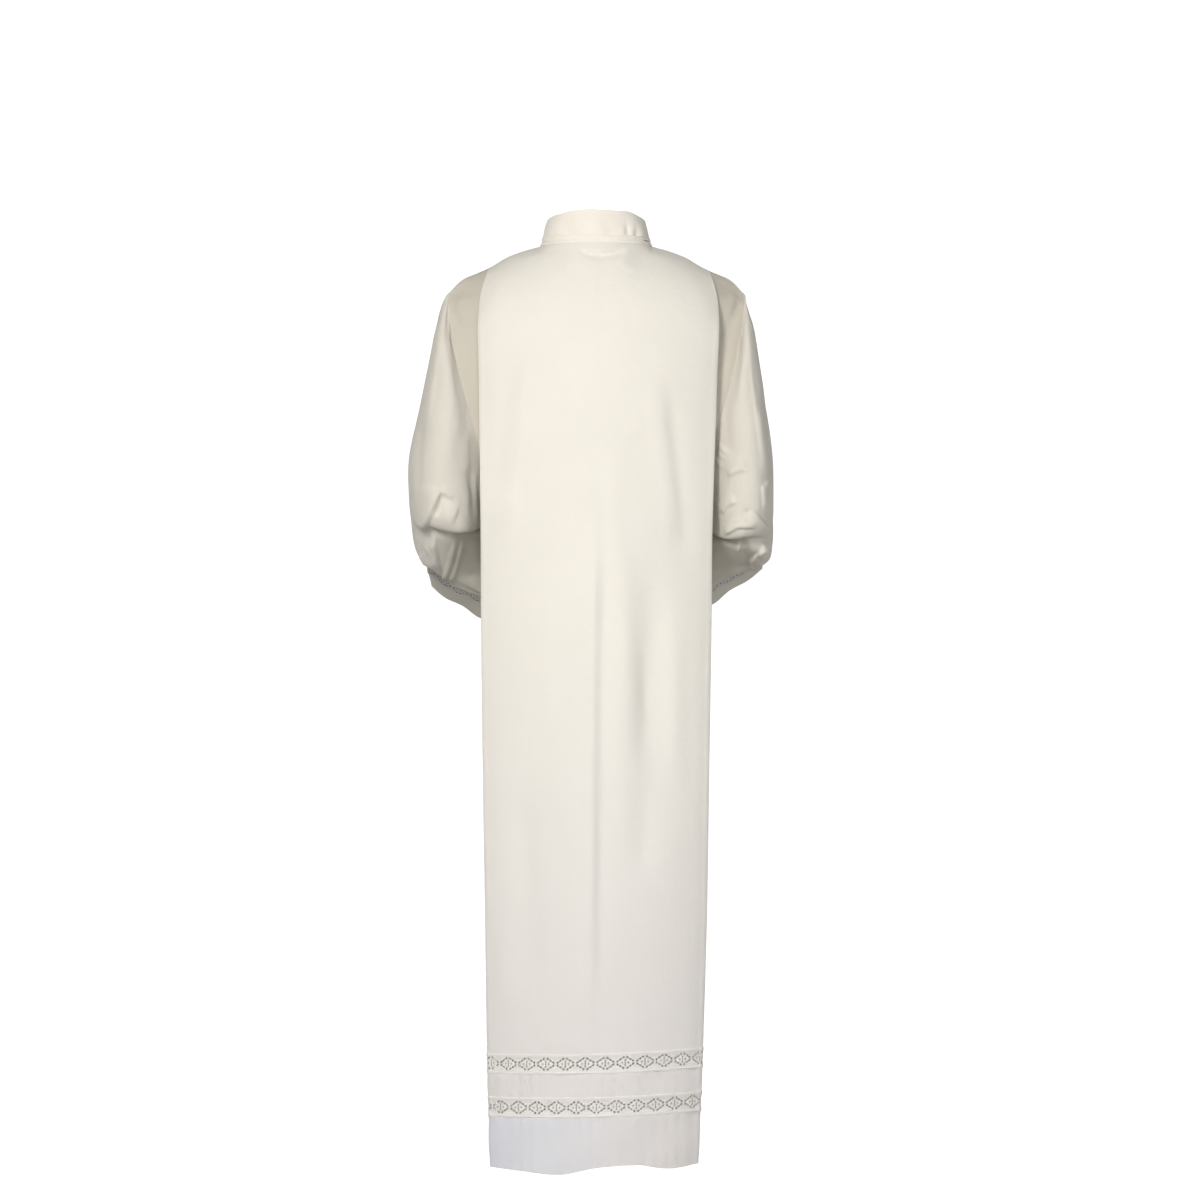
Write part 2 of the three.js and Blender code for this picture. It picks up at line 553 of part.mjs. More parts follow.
for (const { band: name, from, to, first } of [{ ...LEVELS[0], first: 7.5 }, { ...LEVELS[2], first: 22.5 }]) {
  const middle = LACE_LINE - (from + to) / 2;
  const strip = (spots, at) => laceStrip(spots.map((spot) => ({
    top: onLine(at, spot, from + SEAM / 2), foot: onLine(at, spot, to - SEAM / 2), pierced: spot.pierced,
  })));
  piece(`${name}_back`, strip(backLaceColumns(middle, first), backPoint), 0xdedbd2, 0.9);
  // the front's repeats follow the length of its waved path
  const steps = 200;
  const path = Array.from({ length: steps + 1 }, (_, n) => frontPoint(mix(1, -1, n / steps), middle));
  const run = path.reduce((all, p, n) => [...all, n ? all[n - 1] + p.distanceTo(path[n - 1]) : 0], []);
  const spots = repeats(run.at(-1), 8).map(({ k, pierced }) => {
    const goal = k * run.at(-1);
    const n = Math.min(steps - 1, run.findLastIndex((r) => r <= goal + 1e-9));
    return { v: mix(1, -1, clamp((n + (goal - run[n]) / (run[n + 1] - run[n])) / steps)), pierced };
  });
  piece(`${name}_front`, strip(spots, (spot, z) => frontPoint(spot.v, z)), 0xdedbd2, 0.9);
}

// collar and its binding: walls that stand on the neck edge's own points, open at the middle of the front
const neckEdge = [
  ...frontGrid.slice(0, slitAt + 1).reverse().map((column) => ({ p: column[0], front: true })),
  ...backGrid.map((column) => ({ p: column[0], front: false })),
  ...frontGrid.slice(slitAt + 1).reverse().map((column) => ({ p: column[0], front: true })),
].filter(({ p, front }) => Math.abs(p.x) < NECK_HALF_WIDTH - 1 || (!front && Math.abs(p.x) < NECK_HALF_WIDTH + 1));
function neckWall(from, to, rows, wall) {
  return clothWall(neckEdge.map(({ p }) => Array.from({ length: rows + 1 }, (_, m) => {
    const h = mix(typeof to === "function" ? to(p) : to, from, m / rows);
    const lean = (COLLAR_LEAN * h) / (BINDING_HEIGHT + COLLAR_HEIGHT);
    const round = Math.hypot(p.x / NECK_HALF_WIDTH, p.y / NECK_BACK);
    return vec(p.x * (1 - (1.4 * lean) / NECK_HALF_WIDTH / round), p.y * (1 - (0.6 * lean) / NECK_BACK / round),
      p.z + CLOTH / 2 + SEAM + h);
  })), { wall });
}
piece("neck_binding", neckWall(0.9, BINDING_HEIGHT, 1, BINDING_WALL), 0xf6f1e6);
const collarTop = (p) =>
  BINDING_HEIGHT + COLLAR_HEIGHT - COLLAR_SIDE_DROP * (p.y > 0 ? Math.min(1.05, Math.abs(p.x) / 80) ** 4 : 1.2);
piece("collar", neckWall(BINDING_HEIGHT + 1.5 * SEAM, collarTop, 2, CLOTH), 0xf7f1e5);

// ---- sleeves ----
// Closed curve through four points: outer, back, inner and front.
function sectionPoint(row, side, angle) {
  const add = side > 0 ? [0, 0, 0] : [row.rightX, 0, row.rightZ];
  const [o, b, i, f] = [row.out.map((n, k) => n + add[k]), row.back, row.inn, row.front]
    .map(([x, y, z], k) => vec(x, y, z + (k && side < 0 ? row.rightZ : 0)));
  const middle = o.clone().add(b).add(i).add(f).multiplyScalar(0.25);
  const p = middle
    .addScaledVector(o.clone().sub(i), Math.cos(angle) / 2)
    .addScaledVector(b.clone().sub(f), Math.sin(angle) / 2)
    .addScaledVector(o.clone().add(i).sub(b).sub(f), Math.cos(2 * angle) / 4);
  p.x *= side;
  return p;
}

// Stations round a section from its outer point by the back: its quarters hold more stations or fewer,
// from even ones at the armhole to even repeats of the lace at the hem.
function stationRing(index, side) {
  const row = SLEEVE[index];
  const share = (index + 1) / SLEEVE.length;
  const marks = QUARTERS.map(({ armhole, hem }) => mix(armhole, hem, share));
  const steps = 360;
  const path = Array.from({ length: steps + 1 }, (_, n) => sectionPoint(row, side, (2 * Math.PI * n) / steps));
  const run = [0];
  for (let n = 1; n <= steps; n++) run.push(run[n - 1] + path[n].distanceTo(path[n - 1]));
  return Array.from({ length: RING }, (_, m) => {
    const q = marks.findLastIndex((mark) => mark <= m + 1e-9);
    const [from, to] = [run[(q * steps) / 4], run[((q + 1) * steps) / 4]];
    const goal = mix(from, to, (m - marks[q]) / (marks[q + 1] - marks[q]));
    const n = Math.min(steps - 1, run.findLastIndex((r) => r <= goal + 1e-9));
    return path[n].clone().lerp(path[n + 1], (goal - run[n]) / (run[n + 1] - run[n]));
  });
}

function sleeve(side, name) {
  // the first ring follows the armhole, down the back's edge and up the front's
  const backEdge = side > 0 ? backGrid.at(-1) : backGrid[0];
  const backNext = side > 0 ? backGrid.at(-2) : backGrid[1];
  const frontEdge = side > 0 ? frontGrid.at(-1) : frontGrid[0];
  const frontNext = side > 0 ? frontGrid.at(-2) : frontGrid[1];
  const off = (edge, next, j) => edge[j].clone().add(edge[j].clone().sub(next[j]).setY(0).add(vec(side * 12, 0, 0))
    .normalize().multiplyScalar(CLOTH / 2 + 2 * SEAM + 0.4));
  const armhole = [];
  const last = ARMHOLE_ROWS - 1;
  for (let j = 0; j <= last; j++) armhole.push(off(backEdge, backNext, j));
  for (let j = last - 1; j > 0; j--) armhole.push(off(frontEdge, frontNext, j));
  armhole[0].add(off(frontEdge, frontNext, 0)).multiplyScalar(0.5).add(vec(side * 0.6, 0, 0.4));
  armhole[last].add(off(frontEdge, frontNext, last)).multiplyScalar(0.5).add(vec(side * 1.2, 0, -0.8));
  const rings = SLEEVE.slice(0, -1).map((_, index) => stationRing(index, side));
  for (const spot of SETTLED.filter((row) => row.side === side))
    rings.forEach((ring, n) => ring.forEach((p, m) => {
      const round = ((m - spot.station + 1.5 * RING) % RING) - RING / 2;
      p.z += spot.rise * bell((n - spot.section) / SETTLED_REACH.sections) * bell(round / SETTLED_REACH.stations);
    }));
  const hem = stationRing(SLEEVE.length - 1, side);
  const before = rings.at(-1);
  // the cuff runs back from its hem towards the forearm, square to its edge,
  // in directions that change evenly round it
  let back = hem.map((p, m) => {
    const edge = hem[(m + 1) % RING].clone().sub(hem.at(m - 1)).normalize();
    const d = before[m].clone().sub(p).normalize();
    return d.addScaledVector(edge, -d.dot(edge)).normalize();
  });
  for (let n = 0; n < 2; n++)
    back = back.map((d, m) => d.clone().multiplyScalar(2).add(back[(m + 1) % RING]).add(back.at(m - 1)).normalize());
  const backTo = (length) => hem.map((p, m) => p.clone().addScaledVector(back[m], length));
  const half = SEAM * 0.8; // the seams round the cuff bend sharply
  const levels = [CUFF_BAND + LACE + half, CUFF_BAND + LACE - half, CUFF_BAND + half, CUFF_BAND - half, CUFF_BAND / 2, 0];
  const stack = [armhole, ...rings, ...levels.map(backTo)];
  const grid = armhole.map((_, m) => stack.map((ring) => ring[m]));
  const normals = gridNormals(grid, true);
  const part = (from, to) => [grid, normals].map((g) => g.map((column) => column.slice(from, to)));
  const wall = (title, from, to, colour) => {
    const [points, square] = part(from, to);
    piece(title, clothWall(points, { closed: true, normals: square }), colour);
  };
  const first = stack.length - levels.length; // index of the ring that ends the sleeve
  // both edges of a seam are cut at the same slant
  for (const column of normals)
    for (const j of [first, first + 2]) {
      const shared = column[j].clone().add(column[j + 1]).normalize();
      column[j].copy(shared);
      column[j + 1].copy(shared);
    }
  wall(`sleeve_${name}`, 0, first + 1, 0xe4dfd4);
  wall(`cuff_${name}`, first + 3, first + 6, 0xd5d1c6);
  const [lacePoints, laceSquare] = part(first + 1, first + 3);
  const station = (m) => ({
    top: lacePoints[m % RING][0].clone(), foot: lacePoints[m % RING][1].clone(), square: laceSquare[m % RING], pierced: true,
  });
  const split = (from, to) => {
    const list = Array.from({ length: to - from + 1 }, (_, n) => station(from + n));
    for (const [edge, near] of [[list[0], list[1]], [list.at(-1), list.at(-2)]])
      for (const key of ["top", "foot"]) edge[key].lerp(near[key], (1.4 * half) / PITCH);
    return list;
  };
  piece(`sleeve_lace_${name}_outer`, laceStrip(split(0, RING / 2)), 0xc9c5ba, 0.9);
  piece(`sleeve_lace_${name}_inner`, laceStrip(split(RING / 2, RING)), 0xc9c5ba, 0.9);
}
sleeve(1, "left");
sleeve(-1, "right");

export default alb;
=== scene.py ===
"""An alb in worn form: pleated cloth, wide sleeves, a stand collar and bands of diamond lace.

Sizes are millimetres in the tables and metres in Blender. The wearer faces -Y, their left is +X,
and the origin is the middle of the neck base.
"""
from __future__ import annotations

import logging
import math
from collections.abc import Callable
from dataclasses import dataclass
from enum import Enum, IntEnum

import bmesh
import bpy
import numpy as np
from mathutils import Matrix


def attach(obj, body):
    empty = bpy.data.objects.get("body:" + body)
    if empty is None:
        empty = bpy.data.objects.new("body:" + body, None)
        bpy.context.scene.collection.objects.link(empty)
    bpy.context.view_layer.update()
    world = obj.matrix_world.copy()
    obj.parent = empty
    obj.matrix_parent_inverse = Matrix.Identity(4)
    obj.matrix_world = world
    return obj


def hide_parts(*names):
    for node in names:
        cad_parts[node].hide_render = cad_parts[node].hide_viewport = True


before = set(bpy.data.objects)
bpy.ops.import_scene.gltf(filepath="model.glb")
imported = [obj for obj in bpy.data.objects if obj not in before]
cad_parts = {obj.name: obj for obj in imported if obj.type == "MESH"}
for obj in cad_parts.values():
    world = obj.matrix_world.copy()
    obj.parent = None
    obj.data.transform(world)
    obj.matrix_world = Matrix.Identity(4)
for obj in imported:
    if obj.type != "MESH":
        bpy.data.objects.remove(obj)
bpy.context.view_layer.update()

LOG = logging.getLogger("alb")
MM = 0.001
Array = np.ndarray
Form = Callable[[Array, Array], Array]
Height = Callable[[Array, Array, Array, Array], Array]
Colour = tuple[float, float, float]
Place = tuple[float, float, float]


# ---- sums on arrays ----
def mix(a: Array | float, b: Array | float, t: Array | float) -> Array:
    """Value a share t of the way from a to b."""
    return a + (b - a) * t


def ease(t: Array | float) -> Array:
    """Smooth step from 0 to 1."""
    t = np.clip(t, 0.0, 1.0)
    return t * t * (3 - 2 * t)


def bell(d: Array | float) -> Array:
    """Bell curve of height 1."""
    return np.exp(-np.square(d))


def points(x: Array, y: Array, z: Array) -> Array:
    """Rows of X, Y and Z."""
    return np.stack(np.broadcast_arrays(x, y, z), axis=-1).astype(float)


def unit(rows: Array) -> Array:
    """Rows at length 1."""
    return rows / np.maximum(np.linalg.norm(rows, axis=-1, keepdims=True), 1e-9)


def run_lengths(rows: Array) -> Array:
    """Length along a line of points, up to each of them."""
    return np.concatenate(([0], np.cumsum(np.linalg.norm(np.diff(rows, axis=0), axis=1))))


def spread_rows(down: Array) -> Array:
    """Share of the height at a share of the rows, which lie closer together at the top."""
    return np.clip(0.35 * down + 0.65 * down**2, 0, 1)


def through(a: Array, b: Array, c: Array, d: Array, t: Array) -> Array:
    """Smooth curve from b to c, with a and d as its neighbours."""
    return b + 0.5 * t * (c - a + t * (2 * a - 5 * b + 4 * c - d + t * (3 * (b - c) + d - a)))


@dataclass(frozen=True)
class Table:
    """Rows of sizes with named columns, the first of them the key."""

    names: str
    rows: tuple[tuple[float, ...], ...]

    def column(self, name: str) -> Array:
        """One named column."""
        return np.array(self.rows)[:, self.names.split().index(name)]

    def track(self, name: str, at: Array | float) -> Array:
        """Smooth value of a named column.

        Args:
            name: the column.
            at: places on the key column.

        Returns:
            The values there.
        """
        key, value = np.array(self.rows)[:, 0], self.column(name)
        if key[0] > key[-1]:
            key, value = key[::-1], value[::-1]
        last = len(key) - 1
        i = np.clip(np.searchsorted(key, at, side="right") - 1, 0, last - 1)
        before, after = np.maximum(i - 1, 0), np.minimum(i + 2, last)
        width = key[i + 1] - key[i]
        t = np.clip((at - key[i]) / width, 0.0, 1.0)
        s0 = (value[i + 1] - value[before]) / (key[i + 1] - key[before]) * width
        s1 = (value[after] - value[i]) / (key[after] - key[i]) * width
        t2, t3 = t * t, t * t * t
        return ((2 * t3 - 3 * t2 + 1) * value[i] + (t3 - 2 * t2 + t) * s0
                + (3 * t2 - 2 * t3) * value[i + 1] + (t3 - t2) * s1)


# ---- sizes of the body ----
PLEATS = Table("z left right deep", (
    (-25, 162, 170, 34), (-85, 178, 186, 40), (-200, 178, 184, 48), (-430, 175.5, 177, 56),
    (-565, 175, 176, 60), (-780, 172.5, 172.5, 64), (-1000, 169, 169, 66),
    (-1200, 166, 163, 68), (-1400, 161, 155, 70),
))
DEPTHS = Table("z back fall front", (
    (0, 84, 20, 76), (-60, 92, 28, 86), (-130, 104, 34, 104), (-220, 110, 40, 118),
    (-350, 110, 44, 122), (-500, 106, 44, 116), (-700, 108, 46, 120),
    (-1000, 118, 50, 136), (-1400, 130, 56, 156),
))
SHOULDER = Table("x z", (
    (84, 4), (111, -3.5), (136, -13), (160, -27), (180, -36.5), (202, -47), (224, -67),
))
SIDE = Table("z x back front", (
    (-67, 224, -3, -3), (-80, 226, 8, -14), (-105, 223, 20, -28), (-140, 218, 32, -42),
    (-200, 205, 43, -54), (-255, 190, 44, -58), (-305, 175, 34, -50), (-350, 165, 15, -34),
    (-378, 161, -8, -8), (-450, 161, -8, -8), (-600, 162, -9, -9), (-800, 160, -10, -10),
    (-1000, 157, -11, -11), (-1200, 152, -12, -12), (-1400, 145, -12, -12),
))
SHOULDER_END = 224  # half width of the shoulders, where the armholes start
ARMHOLE_INSIDE = 208  # a place just inside the front's armhole edge
UNDERARM = -378  # height of the armholes' feet
HEM_HEIGHT = -1390.0  # height at which the hem's places across are taken
ARMHOLE_ROWS = (0, 0.008, 0.022, 0.042, 0.068, 0.098, 0.13, 0.162, 0.194, 0.222, 0.248, 0.2711)
HEM = Table("x drop", (
    (-160, 79), (-118, 83.5), (-92, 81), (-62, 75), (0, 77), (54, 86), (110, 81.5), (160, 77),
))
BACK_FOLDS = Table("x0 z0 x1 z1 wide out", (
    (-44, -420, -34, -800, 22, 3), (-86, -460, -72, -980, 26, -8),
    (118, -140, 150, -420, 18, -3), (-100, -200, -140, -500, 18, -3),
    (108, -800, 100, -1150, 26, -3), (100, -200, 128, -420, 14, -2.5),
))
FRONT_FOLDS = Table("v z0 wide out", (
    (-0.66, -260, 0.1, 15), (-0.3, -420, 0.09, 18), (0.12, -330, 0.1, 14),
    (0.5, -380, 0.1, 19), (0.8, -520, 0.07, 10),
))


class Zone(IntEnum):
    """Stretches of the back's path, from the middle of its panel out to a side seam."""

    PANEL = 0
    TURN = 1
    UNDERLAY = 2
    INNER_TURN = 3
    SIDE_PART = 4


class Side(IntEnum):
    """Side of the wearer, as the sign of X."""

    LEFT = 1
    RIGHT = -1


class Held(Enum):
    """What keeps a sheet of cloth in its form."""

    HUNG = "hung"
    LAID = "laid"
    DRAPED = "draped"
    STRETCHED = "stretched"


@dataclass(frozen=True)
class BodyForm:
    """Worn form of front and back, as smooth functions of a place across and a height."""

    neck_half_width: float = 84
    neck_back: float = 62
    neck_front_drop: float = 62
    shoulder_y: float = -4
    seam: float = 0.3
    lace: float = 28
    mid_band: float = 37
    lace_height: float = -1214
    lace_tilt: float = 0.027
    fold_radius: float = 0.8
    underlay_depth: float = 7
    side_depth: float = 11
    side_sink: float = 13
    pressed: float = 0.15
    under_lap: float = 5
    top_dip: float = 7.0
    low_dip: float = 2.6
    lip: float = 0.9
    turn_length: float = 120

    @property
    def lower_end(self) -> float:
        """From the upper lace's top to the hem band's top."""
        return 2 * self.lace + self.mid_band

    def top_edge(self, x: Array, front: bool) -> tuple[Array, Array]:
        """Neck edge in the middle, then the shoulder seam.

        Args:
            x: places across.
            front: whether the edge is the front's.

        Returns:
            Y and Z of the edge.
        """
        w = np.abs(x)
        share = np.clip(w / self.neck_half_width, 0, 1)
        c = np.sqrt(1 - share**2)
        y = self.neck_back * c * (-1 if front else 1) + self.shoulder_y * share**4
        z = 4 - (self.neck_front_drop + 4) * c**1.3 if front else 4 + 1.5 * c
        out = w >= self.neck_half_width
        return np.where(out, self.shoulder_y, y), np.where(out, SHOULDER.track("z", w), z)

    def turned(self, x: Array, drop: Array) -> Array:
        """How far the cloth has turned from the top edge (0) to the hanging wall (1)."""
        s = np.clip(drop / self.turn_length, 0, 1)
        return (1 - (1 - s) ** 2) ** mix(0.8, 0.55, ease((np.abs(x) - 50) / 60))

    def folds(self, x: Array, z: Array) -> Array:
        """Soft folds of the back, square to it.

        Args:
            x: places across.
            z: heights.

        Returns:
            How far they stand out.
        """
        y = np.zeros(np.broadcast(x, z).shape)
        for x0, z0, x1, z1, wide, out in BACK_FOLDS.rows:
            t = (z - z0) / (z1 - z0)
            y = y + out * bell((x - mix(x0, x1, t)) / wide) * ease(t * 4) * ease((1 - t) * 4)
        return y

    def depth(self, x: Array, z: Array, top_x: Array) -> Array:
        """Y of the back's outer layer.

        Args:
            x: places across.
            z: heights.
            top_x: where each column starts on the top edge.

        Returns:
            Y of each point.
        """
        top_y, top_z = self.top_edge(top_x, False)
        y = DEPTHS.track("back", z) - DEPTHS.track("fall", z) * (x / 175) ** 2 + self.folds(x, z)
        soft = self.shoulder_y + 66 * np.exp(-np.abs(top_x / 78) ** 3)
        return mix(mix(top_y, soft, ease((top_z - z) / 16)), y, self.turned(top_x, top_z - z))

    def layered(self, x: Array, z: Array, top_x: Array, depth: Array) -> Array:
        """Point of the back sunk square to its outer layer.

        Args:
            x: places across.
            z: heights.
            top_x: where each column starts on the top edge.
            depth: how far it lies under the outer layer.

        Returns:
            The points.
        """
        e = 3.0
        top_z = self.top_edge(top_x, False)[1]
        depth = depth * mix(self.pressed, 1, ease((top_z - z) / 80))
        zz = np.minimum(z, top_z - e)
        dx = (self.depth(x + e, z, top_x) - self.depth(x - e, z, top_x)) / (2 * e)
        dz = (self.depth(x, zz + e, top_x) - self.depth(x, zz - e, top_x)) / (2 * e)
        high = 1 - ease((top_z - z - 150) / 200)
        n = unit(points(-dx, 1.0, -dz * high))
        p = points(x, self.depth(x, z, top_x), z) - n * depth[:, None]
        p[:, 1] = np.maximum(p[:, 1], self.shoulder_y)
        return p

    @staticmethod
    def place(q: Array) -> tuple[Array, Array, Array]:
        """Zone number, side and share in the zone, of places on the path from left to right seam.

        Args:
            q: places on the path.

        Returns:
            The zones, 1 on the left and -1 on the right, and the shares.
        """
        i = np.clip(np.floor(q), 0, 9).astype(int)
        left = i < 5
        share = np.where(left, 1 - (q - i), q - i)
        return np.where(left, 4 - i, i - 5), np.where(left, 1.0, -1.0), share

    def edges(self, side: Array, z: Array | float) -> tuple[Array, Array]:
        """Half widths at which a pleat turns under and at which its underlay turns back."""
        edge = np.where(side > 0, PLEATS.track("left", z), PLEATS.track("right", z))
        return edge, edge - PLEATS.track("deep", z)

    def top_x(self, q: Array) -> Array:
        """Where each column of the back starts on the top edge.

        Args:
            q: places on the back's path.

        Returns:
            X on the top edge.
        """
        zone, side, k = self.place(q)
        edge, inner = self.edges(side, -25.0)
        return side * np.select(
            [zone == Zone.PANEL, zone == Zone.TURN, zone == Zone.UNDERLAY, zone == Zone.INNER_TURN, k <= 0.5],
            [k * (edge - self.fold_radius), edge, mix(edge, inner, k), inner,
             mix(inner, edge - self.under_lap, k * 2)],
            mix(edge - self.under_lap, SHOULDER_END, k * 2 - 1))

    def back(self, q: Array, z: Array) -> Array:
        """Points of the back.

        Args:
            q: places on the path from the wearer's left side seam (0) to the right one (10).
            z: heights.

        Returns:
            The points.
        """
        zone, side, k = self.place(q)
        edge, inner = self.edges(side, z)
        top_x = self.top_x(q)
        low = ease((-70 - z) / 60)
        dip, r = mix(self.top_dip, self.low_dip, low), mix(1.0, self.fold_radius, low)
        lip = self.lip * low
        t = (self.side_depth - self.underlay_depth) / 2
        wide = k * (edge - r)
        under = np.minimum(edge, SIDE.track("x", z)) - self.under_lap
        zones = [zone == Zone.PANEL, zone == Zone.TURN, zone == Zone.UNDERLAY, zone == Zone.INNER_TURN]
        across = np.select(
            zones,
            [wide, edge - r + r * np.sin(np.pi * k), mix(edge - r, inner + t, k),
             inner + t - t * np.sin(np.pi * k)],
            mix(inner + t, under, np.minimum(k * 2, 1)))
        deep = np.select(
            zones,
            [dip * np.clip((wide - edge + 30) / 30, 0, 1) ** 2 - lip * bell((wide - edge + 4) / 2.2),
             dip + r - r * np.cos(np.pi * k),
             mix(dip + 2 * r, self.underlay_depth, ease(k * 2)),
             self.underlay_depth + t - t * np.cos(np.pi * k)],
            self.side_depth + self.side_sink * ease(k * 2) * ease((-60 - z) / 80) * ease((z + 460) / 120))
        p = self.layered(side * across, z, top_x, deep)
        end = points(side * SIDE.track("x", z), SIDE.track("back", z) + self.seam / 2, z)
        control = mix(p, end, 0.5)
        control[:, 0] += side * self.under_lap * ease((UNDERARM - z) / 60)
        s = np.clip(k * 2 - 1, 0, 1)[:, None] * (zone == Zone.SIDE_PART)[:, None]
        return p * (1 - s) ** 2 + control * 2 * s * (1 - s) + end * s * s

    def front(self, v: Array, z: Array, out: float = 0.0) -> Array:
        """Points of the front, moved out by some distance.

        Args:
            v: places across, from -1 to 1.
            z: heights.
            out: how far in front of the cloth they lie.

        Returns:
            The points.
        """
        top_y, top_z = self.top_edge(v * SHOULDER_END, True)
        side_y = SIDE.track("front", z)
        low = ease((-z - 250) / 1100)
        y = side_y - (DEPTHS.track("front", z) + side_y) * (1 - np.clip(np.abs(v), 0, 1) ** 3) ** 0.62
        for fv, z0, wide, crest in FRONT_FOLDS.rows:
            y = y - crest * low * ease((z0 - z) / 300) * (bell((v - fv) / wide) - 0.3) * (1 - v**6)
        wall = mix(top_y, y, self.turned(v * SHOULDER_END, top_z - z))
        return points(v * SIDE.track("x", z), wall - 1.7 * self.seam - out, z)

    def on_line(self, face: Form, spot: Array, level: Array | float) -> Array:
        """Points some way below the upper lace's slanting line.

        Args:
            face: the form to follow.
            spot: places on the form's path.
            level: how far below the line.

        Returns:
            The points.
        """
        p = face(spot, np.full(spot.shape, self.lace_height) - level)
        for _ in range(3):
            p = face(spot, self.lace_height - self.lace_tilt * p[:, 0] - level)
        return p


BODY = BodyForm()


# ---- creases ----
@dataclass(frozen=True)
class Creases:
    """Soft troughs and ridges along bent lines, each row one crease.

    A row runs through three points (x, z). It has a half width on its left and on its right
    as seen from behind, and stands out by some distance, or sinks in where that is negative.
    """

    rows: tuple[tuple[float, ...], ...]

    def at(self, x: Array, z: Array) -> Array:
        """How far the cloth stands out.

        Args:
            x: places across, seen from behind or in front.
            z: heights.

        Returns:
            Distances square to the cloth.
        """
        total = np.zeros(x.shape)
        for x0, z0, x1, z1, x2, z2, left, right, out in self.rows:
            near = np.full(x.shape, 1e9)
            signed, along = np.zeros(x.shape), np.zeros(x.shape)
            for n, (ax, az, bx, bz) in enumerate(((x0, z0, x1, z1), (x1, z1, x2, z2))):
                ux, uz = bx - ax, bz - az
                size = math.hypot(ux, uz)
                t = ((x - ax) * ux + (z - az) * uz) / size**2
                inside = np.clip(t, 0, 1)
                d = np.hypot(x - ax - inside * ux, z - az - inside * uz)
                closer = d < near
                near = np.where(closer, d, near)
                signed = np.where(closer, ((x - ax) * uz - (z - az) * ux) / size, signed)
                along = np.where(closer, (n + inside) / 2, along)
            wide = np.where(signed * (1 if z2 > z0 else -1) > 0, left, right)
            total += out * bell(near / wide) * ease(along * 4) * ease((1 - along) * 4)
        return total


# ---- materials ----
WAVE_PERIOD = 0.314  # metres from band to band of a wave texture at scale 1


